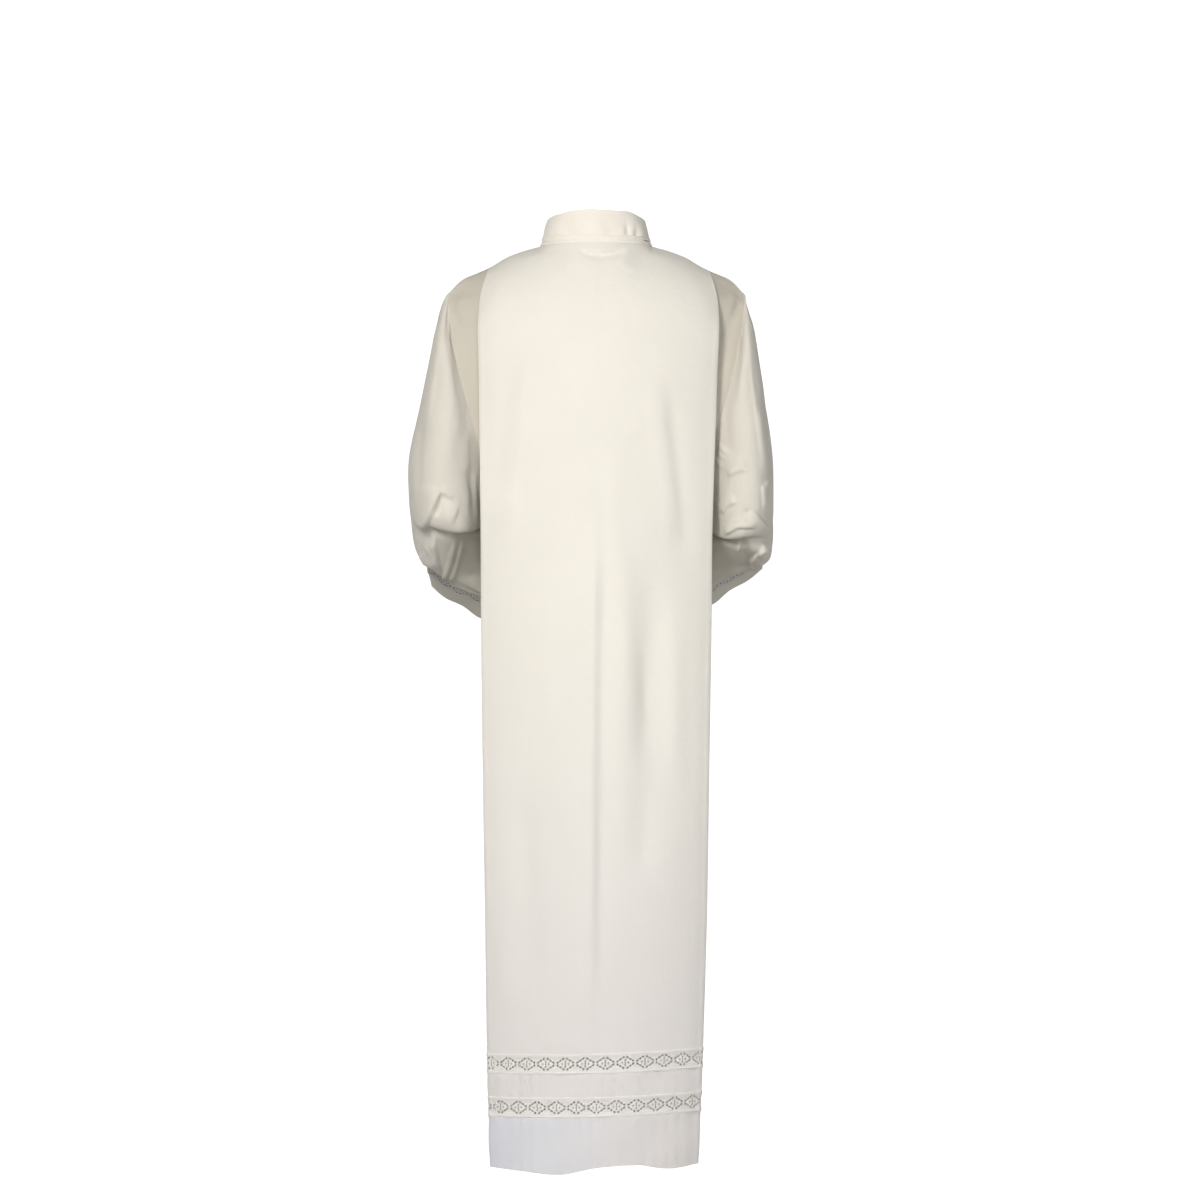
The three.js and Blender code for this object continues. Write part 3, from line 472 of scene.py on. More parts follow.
class Shade:
    """Node tree of one material, built by short calls."""

    def __init__(self, name: str) -> None:
        """Makes an empty material.

        Args:
            name: what the material is called.
        """
        self.material = bpy.data.materials.new(name)
        self.material.use_nodes = True
        self.tree = self.material.node_tree
        self.tree.nodes.clear()
        self.shader = self.add("ShaderNodeBsdfPrincipled")
        self.wire(self.shader.outputs[0], self.add("ShaderNodeOutputMaterial").inputs["Surface"])

    def add(self, kind: str, **settings: object) -> bpy.types.Node:
        """Adds a node and gives it its settings.

        Args:
            kind: the node's type.
            **settings: attributes, or inputs by name with spaces as underscores.

        Returns:
            The node.
        """
        node = self.tree.nodes.new(kind)
        for key, value in settings.items():
            if hasattr(node, key):
                setattr(node, key, value)
            else:
                node.inputs[key.replace("_", " ")].default_value = value
        return node

    def wire(self, source: bpy.types.NodeSocket, goal: bpy.types.NodeSocket) -> None:
        """Joins two sockets."""
        self.tree.links.new(source, goal)

    def cloth_place(self, stretch: tuple[float, float, float] = (1, 1, 1)) -> bpy.types.NodeSocket:
        """Place on the flat cloth, in metres, stretched.

        Args:
            stretch: how many times it is stretched each way.

        Returns:
            The socket with the place.
        """
        scale = self.add("ShaderNodeMapping", Scale=stretch)
        self.wire(self.add("ShaderNodeUVMap").outputs[0], scale.inputs["Vector"])
        return scale.outputs[0]

    def rise(self, axis: int, start: float, end: float) -> bpy.types.NodeSocket:
        """Share that rises from 0 to 1 between two places along an axis of the object.

        Args:
            axis: 0, 1 or 2 for X, Y or Z.
            start: where it is 0.
            end: where it is 1.

        Returns:
            The socket with the share.
        """
        parts, share = self.add("ShaderNodeSeparateXYZ"), self.add("ShaderNodeMapRange")
        self.wire(self.add("ShaderNodeTexCoord").outputs["Object"], parts.inputs[0])
        share.inputs["From Min"].default_value, share.inputs["From Max"].default_value = start, end
        self.wire(parts.outputs[axis], share.inputs["Value"])
        return share.outputs[0]

    def noise(self, place: bpy.types.NodeSocket, scale: float,
              detail: float = 3) -> bpy.types.NodeSocket:
        """Soft noise at a place.

        Args:
            place: where it is taken.
            scale: how fine it is.
            detail: how many octaves it has.

        Returns:
            The socket with the noise.
        """
        node = self.add("ShaderNodeTexNoise", Scale=scale, Detail=detail, Roughness=0.55)
        self.wire(place, node.inputs["Vector"])
        return node.outputs["Fac"]

    def sum(self, how: str, a: bpy.types.NodeSocket,
            b: bpy.types.NodeSocket | float) -> bpy.types.NodeSocket:
        """Result of a named operation on two values.

        Args:
            how: the operation's name.
            a: the first value.
            b: the second value.

        Returns:
            The socket with the result.
        """
        node = self.add("ShaderNodeMath", operation=how)
        self.wire(a, node.inputs[0])
        if isinstance(b, (int, float)):
            node.inputs[1].default_value = b
        else:
            self.wire(b, node.inputs[1])
        return node.outputs[0]

    def blend(self, fac: bpy.types.NodeSocket, low: Colour | bpy.types.NodeSocket,
              high: Colour | bpy.types.NodeSocket) -> bpy.types.NodeSocket:
        """Colour between two colours.

        Args:
            fac: the share of the second.
            low: the first colour.
            high: the second colour.

        Returns:
            The mixed colour.
        """
        node = self.add("ShaderNodeMix", data_type="RGBA")
        self.wire(fac, node.inputs[0])
        for socket, value in ((node.inputs[6], low), (node.inputs[7], high)):
            if isinstance(value, tuple):
                socket.default_value = (*value, 1)
            else:
                self.wire(value, socket)
        return node.outputs[2]

    def threads(self, pitch: float) -> bpy.types.NodeSocket:
        """Height of a plain weave with a pitch in metres.

        Args:
            pitch: metres from thread to thread.

        Returns:
            The socket with the height.
        """
        parts = []
        for axis in ("X", "Y"):
            node = self.add("ShaderNodeTexWave", bands_direction=axis, Scale=WAVE_PERIOD / pitch,
                            Distortion=0.6, Detail=1.0, Detail_Scale=2.0)
            self.wire(self.cloth_place(), node.inputs["Vector"])
            parts.append(node.outputs["Fac"])
        return self.sum("MAXIMUM", *parts)

    def bump(self, heights: list[tuple[bpy.types.NodeSocket, float]]) -> None:
        """Puts heights, each with its size in metres, on the shader.

        Args:
            heights: sockets and sizes, the coarsest first.
        """
        normal = None
        for height, size in heights:
            node = self.add("ShaderNodeBump", Distance=size, Strength=1.0)
            self.wire(height, node.inputs["Height"])
            if normal is not None:
                self.wire(normal, node.inputs["Normal"])
            normal = node.outputs[0]
        self.wire(normal, self.shader.inputs["Normal"])

    def set(self, **values: float | tuple[float, ...]) -> None:
        """Sets constant values on the shader's own sockets."""
        for key, value in values.items():
            self.shader.inputs[key.replace("_", " ")].default_value = value


@dataclass(frozen=True)
class ClothFinish:
    """Light plain-weave cloth with faint slubs and a crumpled hand; its colour also holds painted shade,
    darker and warmer where the painted-shade mask is set, and painted cool light towards the bottom and on
    one side if given.
    """

    name: str
    light: Colour = (0.86, 0.84, 0.785)
    dark: Colour = (0.80, 0.78, 0.72)
    # painted shade: darker, warmer colour drawn where the painted-shade mask marks shaded side parts, lower
    # sleeves and cuffs
    single: Colour = (0.62, 0.59, 0.515)
    # painted cool light: colour the cloth turns to towards the bottom
    low: Colour = (0.83, 0.805, 0.79)
    # painted cool light: tint laid over the wearer's left side if given
    cool: Colour | None = None
    pitch: float = 0.0007
    crumple: float = 0.0011
    sheen: float = 0.12

    def material(self) -> bpy.types.Material:
        """Builds the material.

        Returns:
            The material.
        """
        shade = Shade(self.name)
        place = shade.cloth_place()
        broad = shade.noise(place, 9)
        slub = shade.noise(shade.cloth_place((40, 900, 1)), 1.0, 2)
        tone = shade.sum("MULTIPLY", shade.sum("ADD", broad, slub), 0.5)
        # mask of painted shade, read from a point attribute
        painted_shade_mask = shade.add("ShaderNodeAttribute", attribute_name="single").outputs["Fac"]
        slubbed = shade.blend(tone, self.dark, self.light)
        # painted cool light, growing from 0.6 m to 1.25 m below the neck base
        colour = shade.blend(shade.rise(2, -0.6, -1.25), slubbed, self.low)
        colour = shade.blend(painted_shade_mask, colour, self.single)
        # painted cool light, rising from x -0.1 m to x 0.14 m
        if self.cool:
            colour = shade.blend(shade.rise(0, -0.1, 0.14), colour, self.cool)
        shade.wire(colour, shade.shader.inputs["Base Color"])
        rough = shade.sum("ADD", shade.sum("MULTIPLY", slub, 0.1), 0.78)
        shade.wire(rough, shade.shader.inputs["Roughness"])
        shade.bump([(shade.noise(shade.cloth_place((1, 0.6, 1)), 34, 4), self.crumple),
                    (slub, 0.00006), (shade.threads(self.pitch), 0.00007)])
        shade.set(Sheen_Weight=self.sheen, Sheen_Roughness=0.5, Sheen_Tint=(1.0, 0.98, 0.94, 1),
                  Specular_IOR_Level=0.25)
        return shade.material


@dataclass(frozen=True)
class LaceFinish:
    """Cotton lace: bright cords and petals on a fine net ground, with painted shade in and round its gaps."""

    name: str
    cord: Colour = (0.93, 0.915, 0.885)
    ground: Colour = (0.72, 0.705, 0.68)
    # painted shade: near-black colour drawn in and round the gaps
    hollow: Colour = (0.1, 0.095, 0.085)
    mesh: float = 0.0016

    def material(self) -> bpy.types.Material:
        """Builds the material.

        Returns:
            The material.
        """
        shade = Shade(self.name)
        net = shade.threads(self.mesh)
        relief = shade.add("ShaderNodeAttribute", attribute_name="cord").outputs["Fac"]
        open_net = shade.blend(net, self.ground, self.cord)
        worked = shade.blend(relief, open_net, self.cord)
        # painted shade where the cord attribute is below 0
        worked = shade.blend(shade.sum("MULTIPLY", relief, -1.0), worked, self.hollow)
        shade.wire(worked, shade.shader.inputs["Base Color"])
        twist = shade.noise(shade.cloth_place((1, 1, 1)), 900, 2)
        shade.bump([(net, 0.0003), (twist, 0.0002)])
        shade.set(Roughness=0.82, Sheen_Weight=0.15, Specular_IOR_Level=0.25)
        return shade.material


class Finishes:
    """Every finish of the garment."""

    def __init__(self) -> None:
        """Makes the materials."""
        self.body = ClothFinish("body cloth").material()
        # painted shade: the sleeves get a darker copy of the body cloth, and a darker painted-shade colour
        # still
        self.sleeve = ClothFinish("sleeve cloth", (0.735, 0.71, 0.65), (0.685, 0.66, 0.60),
                                  (0.55, 0.53, 0.47), crumple=0.0012).material()
        self.collar = ClothFinish("collar cloth", (0.90, 0.87, 0.80), (0.85, 0.82, 0.75),
                                  crumple=0.0006).material()
        # the hem band has painted cool light on the wearer's left
        self.hem = ClothFinish("hem cloth", cool=(0.77, 0.79, 0.85), crumple=0.0012).material()
        self.lace = LaceFinish("lace thread").material()
        # painted shade: a darker copy of the lace, for the sleeve lace that lies in shade
        self.shaded_lace = LaceFinish("sleeve lace thread", (0.62, 0.60, 0.55),
                                      (0.47, 0.455, 0.415)).material()


# ---- cloth sheets ----
@dataclass
class ClothSheet:
    """A grid of cloth carried from its flat cut to its worn form, with a thin closed shell."""

    name: str
    nodes: tuple[str, ...]
    slot: str
    columns: int
    rows: int
    flat: tuple[float, float]
    held: Held = Held.HUNG
    area: float | None = None
    thick: float = 0.6
    closed: bool = False
    crisp_angle: float = 75

    def grid(self) -> bmesh.types.BMesh:
        """Flat grid whose X and Y run from 0 to 1, with Y downwards at its top.

        Returns:
            The grid.
        """
        bm = bmesh.new()
        bmesh.ops.create_grid(bm, x_segments=self.columns, y_segments=self.rows, size=0.5)
        bmesh.ops.translate(bm, verts=bm.verts, vec=(0.5, 0.5, 0))
        return bm

    def carry(self, bm: bmesh.types.BMesh, form: Form, flat: Form, material: bpy.types.Material,
              extra: tuple[str, Form] | None = None) -> bpy.types.Object:
        """Carries a flat grid to its worn form and makes the piece of it.

        Args:
            bm: the flat grid, from 0 to 1 each way, with Y upwards.
            form: worn points in millimetres, of shares across and down.
            flat: place on the flat cloth in metres, of the same shares.
            material: what it is made of.
            extra: name and values of one more attribute, of the same shares.

        Returns:
            The piece.
        """
        mesh = bpy.data.meshes.new(self.name)
        bm.to_mesh(mesh)
        bm.free()
        co = np.empty(len(mesh.vertices) * 3)
        mesh.vertices.foreach_get("co", co)
        across, down = co[0::3], 1 - co[1::3]
        mesh.vertices.foreach_set("co", (form(across, down) * MM).ravel())
        corner = np.empty(len(mesh.loops), dtype=int)
        mesh.loops.foreach_get("vertex_index", corner)
        layer = mesh.uv_layers[0] if mesh.uv_layers else mesh.uv_layers.new(name="cloth")
        layer.data.foreach_set("uv", flat(across, down)[corner][:, :2].ravel())
        if extra:
            name, values = extra
            mesh.attributes.new(name, "FLOAT", "POINT").data.foreach_set("value", values(across, down))
        if self.closed:
            shell = bmesh.new()
            shell.from_mesh(mesh)
            bmesh.ops.remove_doubles(shell, verts=shell.verts, dist=1e-5)
            shell.to_mesh(mesh)
            shell.free()
        mesh.shade_smooth()
        mesh.materials.append(material)
        piece = bpy.data.objects.new(self.name, mesh)
        bpy.context.scene.collection.objects.link(piece)
        wall = piece.modifiers.new("cloth thickness", "SOLIDIFY")
        wall.thickness = self.thick * MM
        wall.offset = 0
        piece.modifiers.new("crisp edges", "EDGE_SPLIT").split_angle = math.radians(self.crisp_angle)
        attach(piece, "root")
        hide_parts(*self.nodes)
        LOG.info("%s: %d faces", self.name, len(mesh.polygons))
        return piece


def raised(form: Form, height: Height, across: Array, down: Array,
           step: tuple[float, float] = (0.004, 0.004)) -> Array:
    """Points of a form moved out square to it.

    Args:
        form: the smooth form, of shares across and down.
        height: millimetres to move out, of the points, their directions and the shares.
        across: shares across.
        down: shares down.
        step: how far to the sides the directions are taken.

    Returns:
        The moved points.
    """
    p = form(across, down)
    a, b = step
    along = form(np.clip(across + a, 0, 1), down) - form(np.clip(across - a, 0, 1), down)
    up = form(across, np.clip(down - b, 0, 1)) - form(across, np.clip(down + b, 0, 1))
    n = unit(np.cross(along, up))
    return p + n * height(p, n, across, down)[:, None]


def puckers(p: Array, n: Array, across: Array, down: Array) -> Array:
    """How far a band between two seams stands out in small puckers and soft waves.

    Args:
        p: worn points.
        n: their directions; not used.
        across: shares across, from 0 to 1; not used.
        down: shares down, from 0 to 1.

    Returns:
        Millimetres to move out.
    """
    x, z = p[:, 0], p[:, 2]
    small = 0.45 * np.sin(x / 3.3 + 1.9 * np.sin(x / 17)) * (bell(down / 0.35) + bell((1 - down) / 0.3))
    return (small + 0.9 * np.sin(x / 15 + z / 24) * np.sin(x / 37 - z / 31 + 1)) * ease(down * 12)


# ---- back and front ----
BACK_STRETCHES = (20, 3, 7, 5, 52, 52, 5, 7, 3, 20)  # columns of each stretch of the back's path
BACK_CREASES = Creases((
    # x0    z0    x1    z1    x2    z2   left right  out
    (2, -380, 6, -720, 10, -1290, 50, 10, 6.0),
    (-14, -420, -9, -700, -3, -1060, 8, 30, -1.6),
    (34, -180, 22, -300, 4, -410, 16, 12, 2.2),
    (-30, -300, -26, -400, -40, -520, 16, 16, 2.4),
    (104, -160, 116, -300, 136, -470, 26, 11, 4.2),
    (-40, -540, -66, -760, -92, -920, 34, 20, 3.6),
    (-92, -190, -106, -320, -122, -470, 18, 12, 3.2),
    (-80, -190, -100, -300, -118, -420, 16, 12, 0.9),
    (111, -850, 106, -930, 104, -990, 9, 12, -0.9),
    (-70, -600, -72, -700, -66, -800, 14, 10, -2.0),
    (64, -500, 74, -620, 70, -760, 14, 12, 1.5),
    (-112, -560, -120, -700, -116, -820, 12, 14, 1.2),
    (30, -6, -8, -14, -50, -4, 2.0, 10, -4.0),
    (26, -22, 44, -34, 62, -58, 9, 9, 0.5),
    (-30, -20, -46, -30, -58, -44, 6, 8, 0.8),
    (2, -14, 4, -60, 8, -110, 8, 9, 1.2),
    (52, -1188, 40, -1198, 20, -1206, 4, 5, 1.2),
    (92, -1180, 74, -1196, 56, -1206, 4, 5, 1.2),
    (-30, -1180, -38, -1196, -50, -1206, 5, 4, 1.0),
))
SIDE_CREASES = Creases((
    (212, -72, 206, -95, 200, -125, 5, 5, 2.2),
    (226, -86, 214, -104, 206, -134, 4, 4, -1.8),
    (-212, -66, -206, -84, -202, -112, 5, 5, 2.2),
    (-222, -80, -210, -98, -202, -126, 4, 4, -1.8),
    (188, -236, 196, -244, 202, -256, 4, 4, 1.6),
    (178, -300, 184, -312, 192, -322, 4, 4, 1.4),
    (-180, -298, -186, -310, -194, -320, 4, 4, 1.4),
))


@dataclass
class Panel:
    """What back and front share: one long piece, and plain bands above and below the lower lace."""

    finishes: Finishes
    title: str = ""
    face: Form = BODY.back
    ends: tuple[float, float] = (0, 10)
    samples: int = 4001
    measured_at: float = -700.0
    band_columns: int = 160
    band_cut: float = 0.79
    laid_length: float = 1.25

    def spot(self, across: Array) -> Array:
        """Place on the form's path, of a share of the columns."""
        raise NotImplementedError

    def top_z(self, spot: Array) -> Array:
        """Height of the top edge at places on the path."""
        raise NotImplementedError

    def width(self, across: Array) -> Array:
        """Place across the flat cloth in metres.

        Args:
            across: shares across, from 0 to 1.

        Returns:
            The places.
        """
        path = np.linspace(*self.ends, self.samples)
        run = run_lengths(self.face(path, np.full(path.shape, self.measured_at)))
        return np.interp(self.spot(across), path, run) * MM

    def laid(self, length: float) -> Form:
        """Places on the flat cloth of a piece of some length."""
        return lambda across, down: points(self.width(across), -length * down, 0)

    def upper(self, across: Array, down: Array) -> Array:
        """Main piece, from the neck and shoulders to the upper lace.

        Args:
            across: shares across, from 0 to 1.
            down: shares down, from 0 to 1.

        Returns:
            The worn points.
        """
        spot = self.spot(across)
        foot = BODY.on_line(self.face, spot, -BODY.seam / 2)[:, 2]
        return self.face(spot, mix(self.top_z(spot), foot, spread_rows(down)))

    def hem_foot(self, spot: Array) -> Array:
        """Level of the hem edge at places on the path."""
        x = self.face(spot, np.full(spot.shape, HEM_HEIGHT))[:, 0]
        return BODY.lower_end + HEM.track("drop", x)

    def band(self, top: float, foot: Callable[[Array], Array]) -> Form:
        """Form of a band between two lines below the upper lace's.

        Args:
            top: level of its upper edge.
            foot: levels of its lower edge, of places on the path.

        Returns:
            The form.
        """
        def form(across: Array, down: Array) -> Array:
            """Worn points of the band."""
            spot = self.spot(across)
            return BODY.on_line(self.face, spot, mix(top, foot(spot), down))
        return form

    def puckered(self, form: Form, step: float) -> Form:
        """The form of a band with its puckers, which the front lacks."""
        return form

    def bands(self) -> None:
        """Makes the mid band and the hem band."""
        gap = BODY.seam / 2
        mid_foot = BODY.lace + BODY.mid_band - gap
        for name, rows, high, laid, top, foot, finish, step in (
            ("mid_band", 8, 0.037, 0.037, BODY.lace + gap, lambda spot: mid_foot + 0 * spot,
             self.finishes.body, 0.1),
            ("hem_band", 16, 0.082, 0.08, BODY.lower_end + gap, self.hem_foot, self.finishes.hem, 0.06),
        ):
            sheet = ClothSheet(f"{name}_{self.title}_cloth", (f"{name}_{self.title}",), "hem_cloth",
                               self.band_columns, rows, (self.band_cut, high))
            form = self.puckered(self.band(top, foot), step)
            sheet.carry(sheet.grid(), form, self.laid(laid), finish)


@dataclass
class BackPanel(Panel):
    """The back: its panel between two pressed pleats, the side parts and the bands below."""

    title: str = "back"
    band_columns: int = sum(BACK_STRETCHES)
    rows: int = 236
    cut: tuple[float, float] = (0.78, 1.26)

    def spot(self, across: Array) -> Array:
        """Place on the path from the left side seam to the right one, of a share of the columns."""
        marks = np.concatenate(([0], np.cumsum(BACK_STRETCHES)))
        return np.interp(across * marks[-1], marks, np.arange(11))

    def top_z(self, spot: Array) -> Array:
        """Height of the top edge at places on the path."""
        return BODY.top_edge(BODY.top_x(spot), False)[1]

    def creased(self, p: Array, n: Array, across: Array, down: Array) -> Array:
        """How far creases stand out.

        Args:
            p: worn points.
            n: their directions; not used.
            across: shares across, from 0 to 1.
            down: shares down, from 0 to 1.

        Returns:
            Millimetres to move out.
        """
        zone = BODY.place(self.spot(across))[0]
        panel = np.where(zone == Zone.PANEL, BACK_CREASES.at(p[:, 0], p[:, 2]), 0)
        side = np.where(zone == Zone.SIDE_PART, SIDE_CREASES.at(p[:, 0], p[:, 2]), 0)
        return (panel + side) * ease(down * 60)

    def single(self, across: Array, down: Array) -> Array:
        """Share of painted shade: the side parts, behind the pleats, are drawn darker and warmer."""
        zone, _, k = BODY.place(self.spot(across))
        return np.where(zone == Zone.SIDE_PART, ease(k * 8), 0.0)

    def puckered(self, form: Form, step: float) -> Form:
        """The form of a band with its puckers."""
        return lambda across, down: raised(form, puckers, across, down, (0.003, step))

    def build(self) -> None:
        """Makes the back, its mid band and its hem band."""
        sheet = ClothSheet("back_cloth", ("back",), "body_cloth", self.band_columns, self.rows, self.cut)
        # the side parts carry a mask of painted shade
        sheet.carry(sheet.grid(), lambda a, d: raised(self.upper, self.creased, a, d, (0.003, 0.003)),
                    self.laid(self.laid_length), self.finishes.body, ("single", self.single))
        self.bands()


FRONT_CREASES = Creases((
    # x0    z0    x1    z1    x2    z2   left right  out
    (-60, -120, -66, -260, -58, -420, 14, 12, 2.2),
    (52, -130, 66, -280, 70, -460, 12, 14, 2.0),
    (-100, -150, -112, -300, -108, -480, 12, 10, -2.2),
    (104, -150, 116, -280, 122, -450, 10, 12, -2.0),
    (-30, -520, -24, -760, -36, -1000, 12, 10, 2.2),
    (40, -600, 34, -820, 48, -1080, 10, 12, -2.2),
    (-130, -500, -124, -700, -132, -900, 10, 12, 2.0),
    (134, -420, 128, -640, 138, -860, 10, 12, 1.8),
))


@dataclass
class FrontPanel(Panel):
    """The front, with the slit at its neck, the strip over the slit and the bands below."""

    title: str = "front"
    face: Form = BODY.front
    ends: tuple[float, float] = (-1, 1)
    samples: int = 801
    measured_at: float = -1100.0
    band_cut: float = 0.465
    columns: int = 121
    rows: int = 200
    slit_top: float = -70
    slit_end: float = -330
    slit_share: float = 0.003
    strip_half_width: float = 16
    strip_cut: tuple[float, float] = (0.032, 0.29)
    cut: tuple[float, float] = (0.46, 1.25)

    def spot(self, across: Array) -> Array:
        """Place across the front, with the slit as one narrow column."""
        mid, half = (self.columns - 1) / 2, self.slit_share
        return np.interp(across * self.columns, (0, mid, mid + 1, self.columns), (-1, -half, half, 1))

    def top_z(self, spot: Array) -> Array:
        """Height of the top edge at places on the path."""
        return BODY.top_edge(spot * SHOULDER_END, True)[1]

    def creased(self, p: Array, n: Array, across: Array, down: Array) -> Array:
        """How far creases stand out, none under the strip.

        Args:
            p: worn points.
            n: their directions; not used.
            across: shares across, from 0 to 1.
            down: shares down, from 0 to 1.

        Returns:
            Millimetres to move out.
        """
        x, z = p[:, 0], p[:, 2]
        clear = np.where(z > self.slit_end - 40, ease((np.abs(x) - 18) / 12), 1)
        return FRONT_CREASES.at(x, z) * ease(down * 60) * clear * (1 - np.abs(self.spot(across)) ** 6)

    def strip(self, across: Array, down: Array) -> Array:
        """Strip over the neck slit, with a stitched ridge along each long edge.

        Args:
            across: shares across, from 0 to 1.
            down: shares down, from 0 to 1.

        Returns:
            The worn points.
        """
        x = mix(-self.strip_half_width, self.strip_half_width, across)
        z = mix(self.slit_top, self.slit_end - 30, down)
        soft = 0.5 * np.clip(1 - ((np.abs(x) - 12.5) / 1.5) ** 2, 0, 1)
        return BODY.front(x / SIDE.track("x", z), z, 0.0) - points(0, 2.3 + soft, 0)

    def in_slit(self, face: bmesh.types.BMFace) -> bool:
        """Whether a face of the flat grid lies in the slit.

        Args:
            face: a face of the flat grid.

        Returns:
            Whether it lies there.
        """
        middle = face.calc_center_median()
        if abs(middle.x - 0.5) >= 0.2 / self.columns:
            return False
        return bool(self.upper(np.array([0.5]), np.array([1 - middle.y]))[0, 2] > self.slit_end)

    def build(self) -> None:
        """Makes the front, its bands and the strip over the slit."""
        sheet = ClothSheet("front_cloth", ("front",), "body_cloth", self.columns, self.rows, self.cut)
        bm = sheet.grid()
        bmesh.ops.delete(bm, geom=[f for f in bm.faces if self.in_slit(f)], context="FACES_ONLY")
        sheet.carry(bm, lambda a, d: raised(self.upper, self.creased, a, d, (0.004, 0.003)),
                    self.laid(self.laid_length), self.finishes.body)
        strip = ClothSheet("front_strip", ("front_placket",), "collar_cloth", 32, 80, self.strip_cut,
                           Held.LAID, thick=0.8)
        wide, long = self.strip_cut
        strip.carry(strip.grid(), self.strip, lambda a, d: points(wide * a, -long * d, 0),
                    self.finishes.collar)
        self.bands()


# ---- lace ----
@dataclass(frozen=True)
class LacePattern:
    """One repeat: a diamond of short gaps round a four-petal flower with eyelets.

    Places are millimetres from the diamond's middle, and stand for all its four quarters.
    """

    repeat: float = 30
    high: float = 28
    heading: float = 1.5
    scallop: float = 5
    # gaps: x, y, half length, half width, slant in degrees
    gaps: Table = Table("x y long wide slant", (
        (11.7, 2.1, 1.55, 1.1, -32), (7.5, 4.7, 1.55, 1.1, -32), (3.1, 7.4, 1.55, 1.1, -32),
        (0, 0, 0.9, 0.9, 0), (4.7, 0, 1.0, 0.9, 0), (0, 3.3, 0.95, 0.95, 0),
    ))
    # raised work: x, y, half length, half width, slant, height
    cords: Table = Table("x y long wide slant out", (
        (2.4, 1.9, 1.9, 1.4, 35, 0.55), (7.6, 0, 2.0, 1.6, 0, 0.5), (8.3, 6.6, 7.6, 0.7, -32, 0.4),
        (6.4, 3.0, 5.6, 0.7, -32, 0.35), (15, 4.6, 2.0, 0.6, 52, 0.3), (15, 10.5, 3.4, 0.9, 0, 0.2),
    ))

    def cell(self, s: Array, h: Array) -> tuple[Array, Array]:
        """Place in a repeat, folded into its first quarter."""
        x = np.abs((s + self.repeat / 2) % self.repeat - self.repeat / 2)
        return x, np.abs(h - self.high / 2)

    @staticmethod
    def turned(x: Array, y: Array, slant: float) -> tuple[Array, Array]:
        """Places along and across a mark that slants by some degrees."""
        c, n = math.cos(math.radians(slant)), math.sin(math.radians(slant))
        return x * c + y * n, y * c - x * n

    def gap(self, s: Array, h: Array) -> Array:
        """Distance to the nearest gap, negative inside it.

        Args:
            s: millimetres along the strip.
            h: millimetres above its foot.

        Returns:
            Distances in millimetres.
        """
        x, y = self.cell(s, h)
        best = np.full(x.shape, 9.0)
        for cx, cy, long, wide, slant in self.gaps.rows:
            a, b = self.turned(x - cx, y - cy, slant)
            reach = np.clip(a, -(long - wide), long - wide)
            best = np.minimum(best, np.hypot(a - reach, b) - wide)
        return best

    def cord(self, s: Array, h: Array) -> Array:
        """Height of the raised work, from 0 to 1.

        Args:
            s: millimetres along the strip.
            h: millimetres above its foot.

        Returns:
            The heights.
        """
        x, y = self.cell(s, h)
        best = np.zeros(x.shape)
        for cx, cy, long, wide, slant, out in self.cords.rows:
            a, b = self.turned(x - cx, y - cy, slant)
            best = np.maximum(best, out / 0.55 * bell(a / long * 0.9) * bell(b / wide))
        wave = 0.2 * np.cos(2 * np.pi * s / self.scallop)
        upper, lower = h - self.high + self.heading - wave, h - self.heading - wave
        return np.maximum(best, np.maximum(bell(upper / 1.5), bell(lower / 1.4)))


LACE = LacePattern()


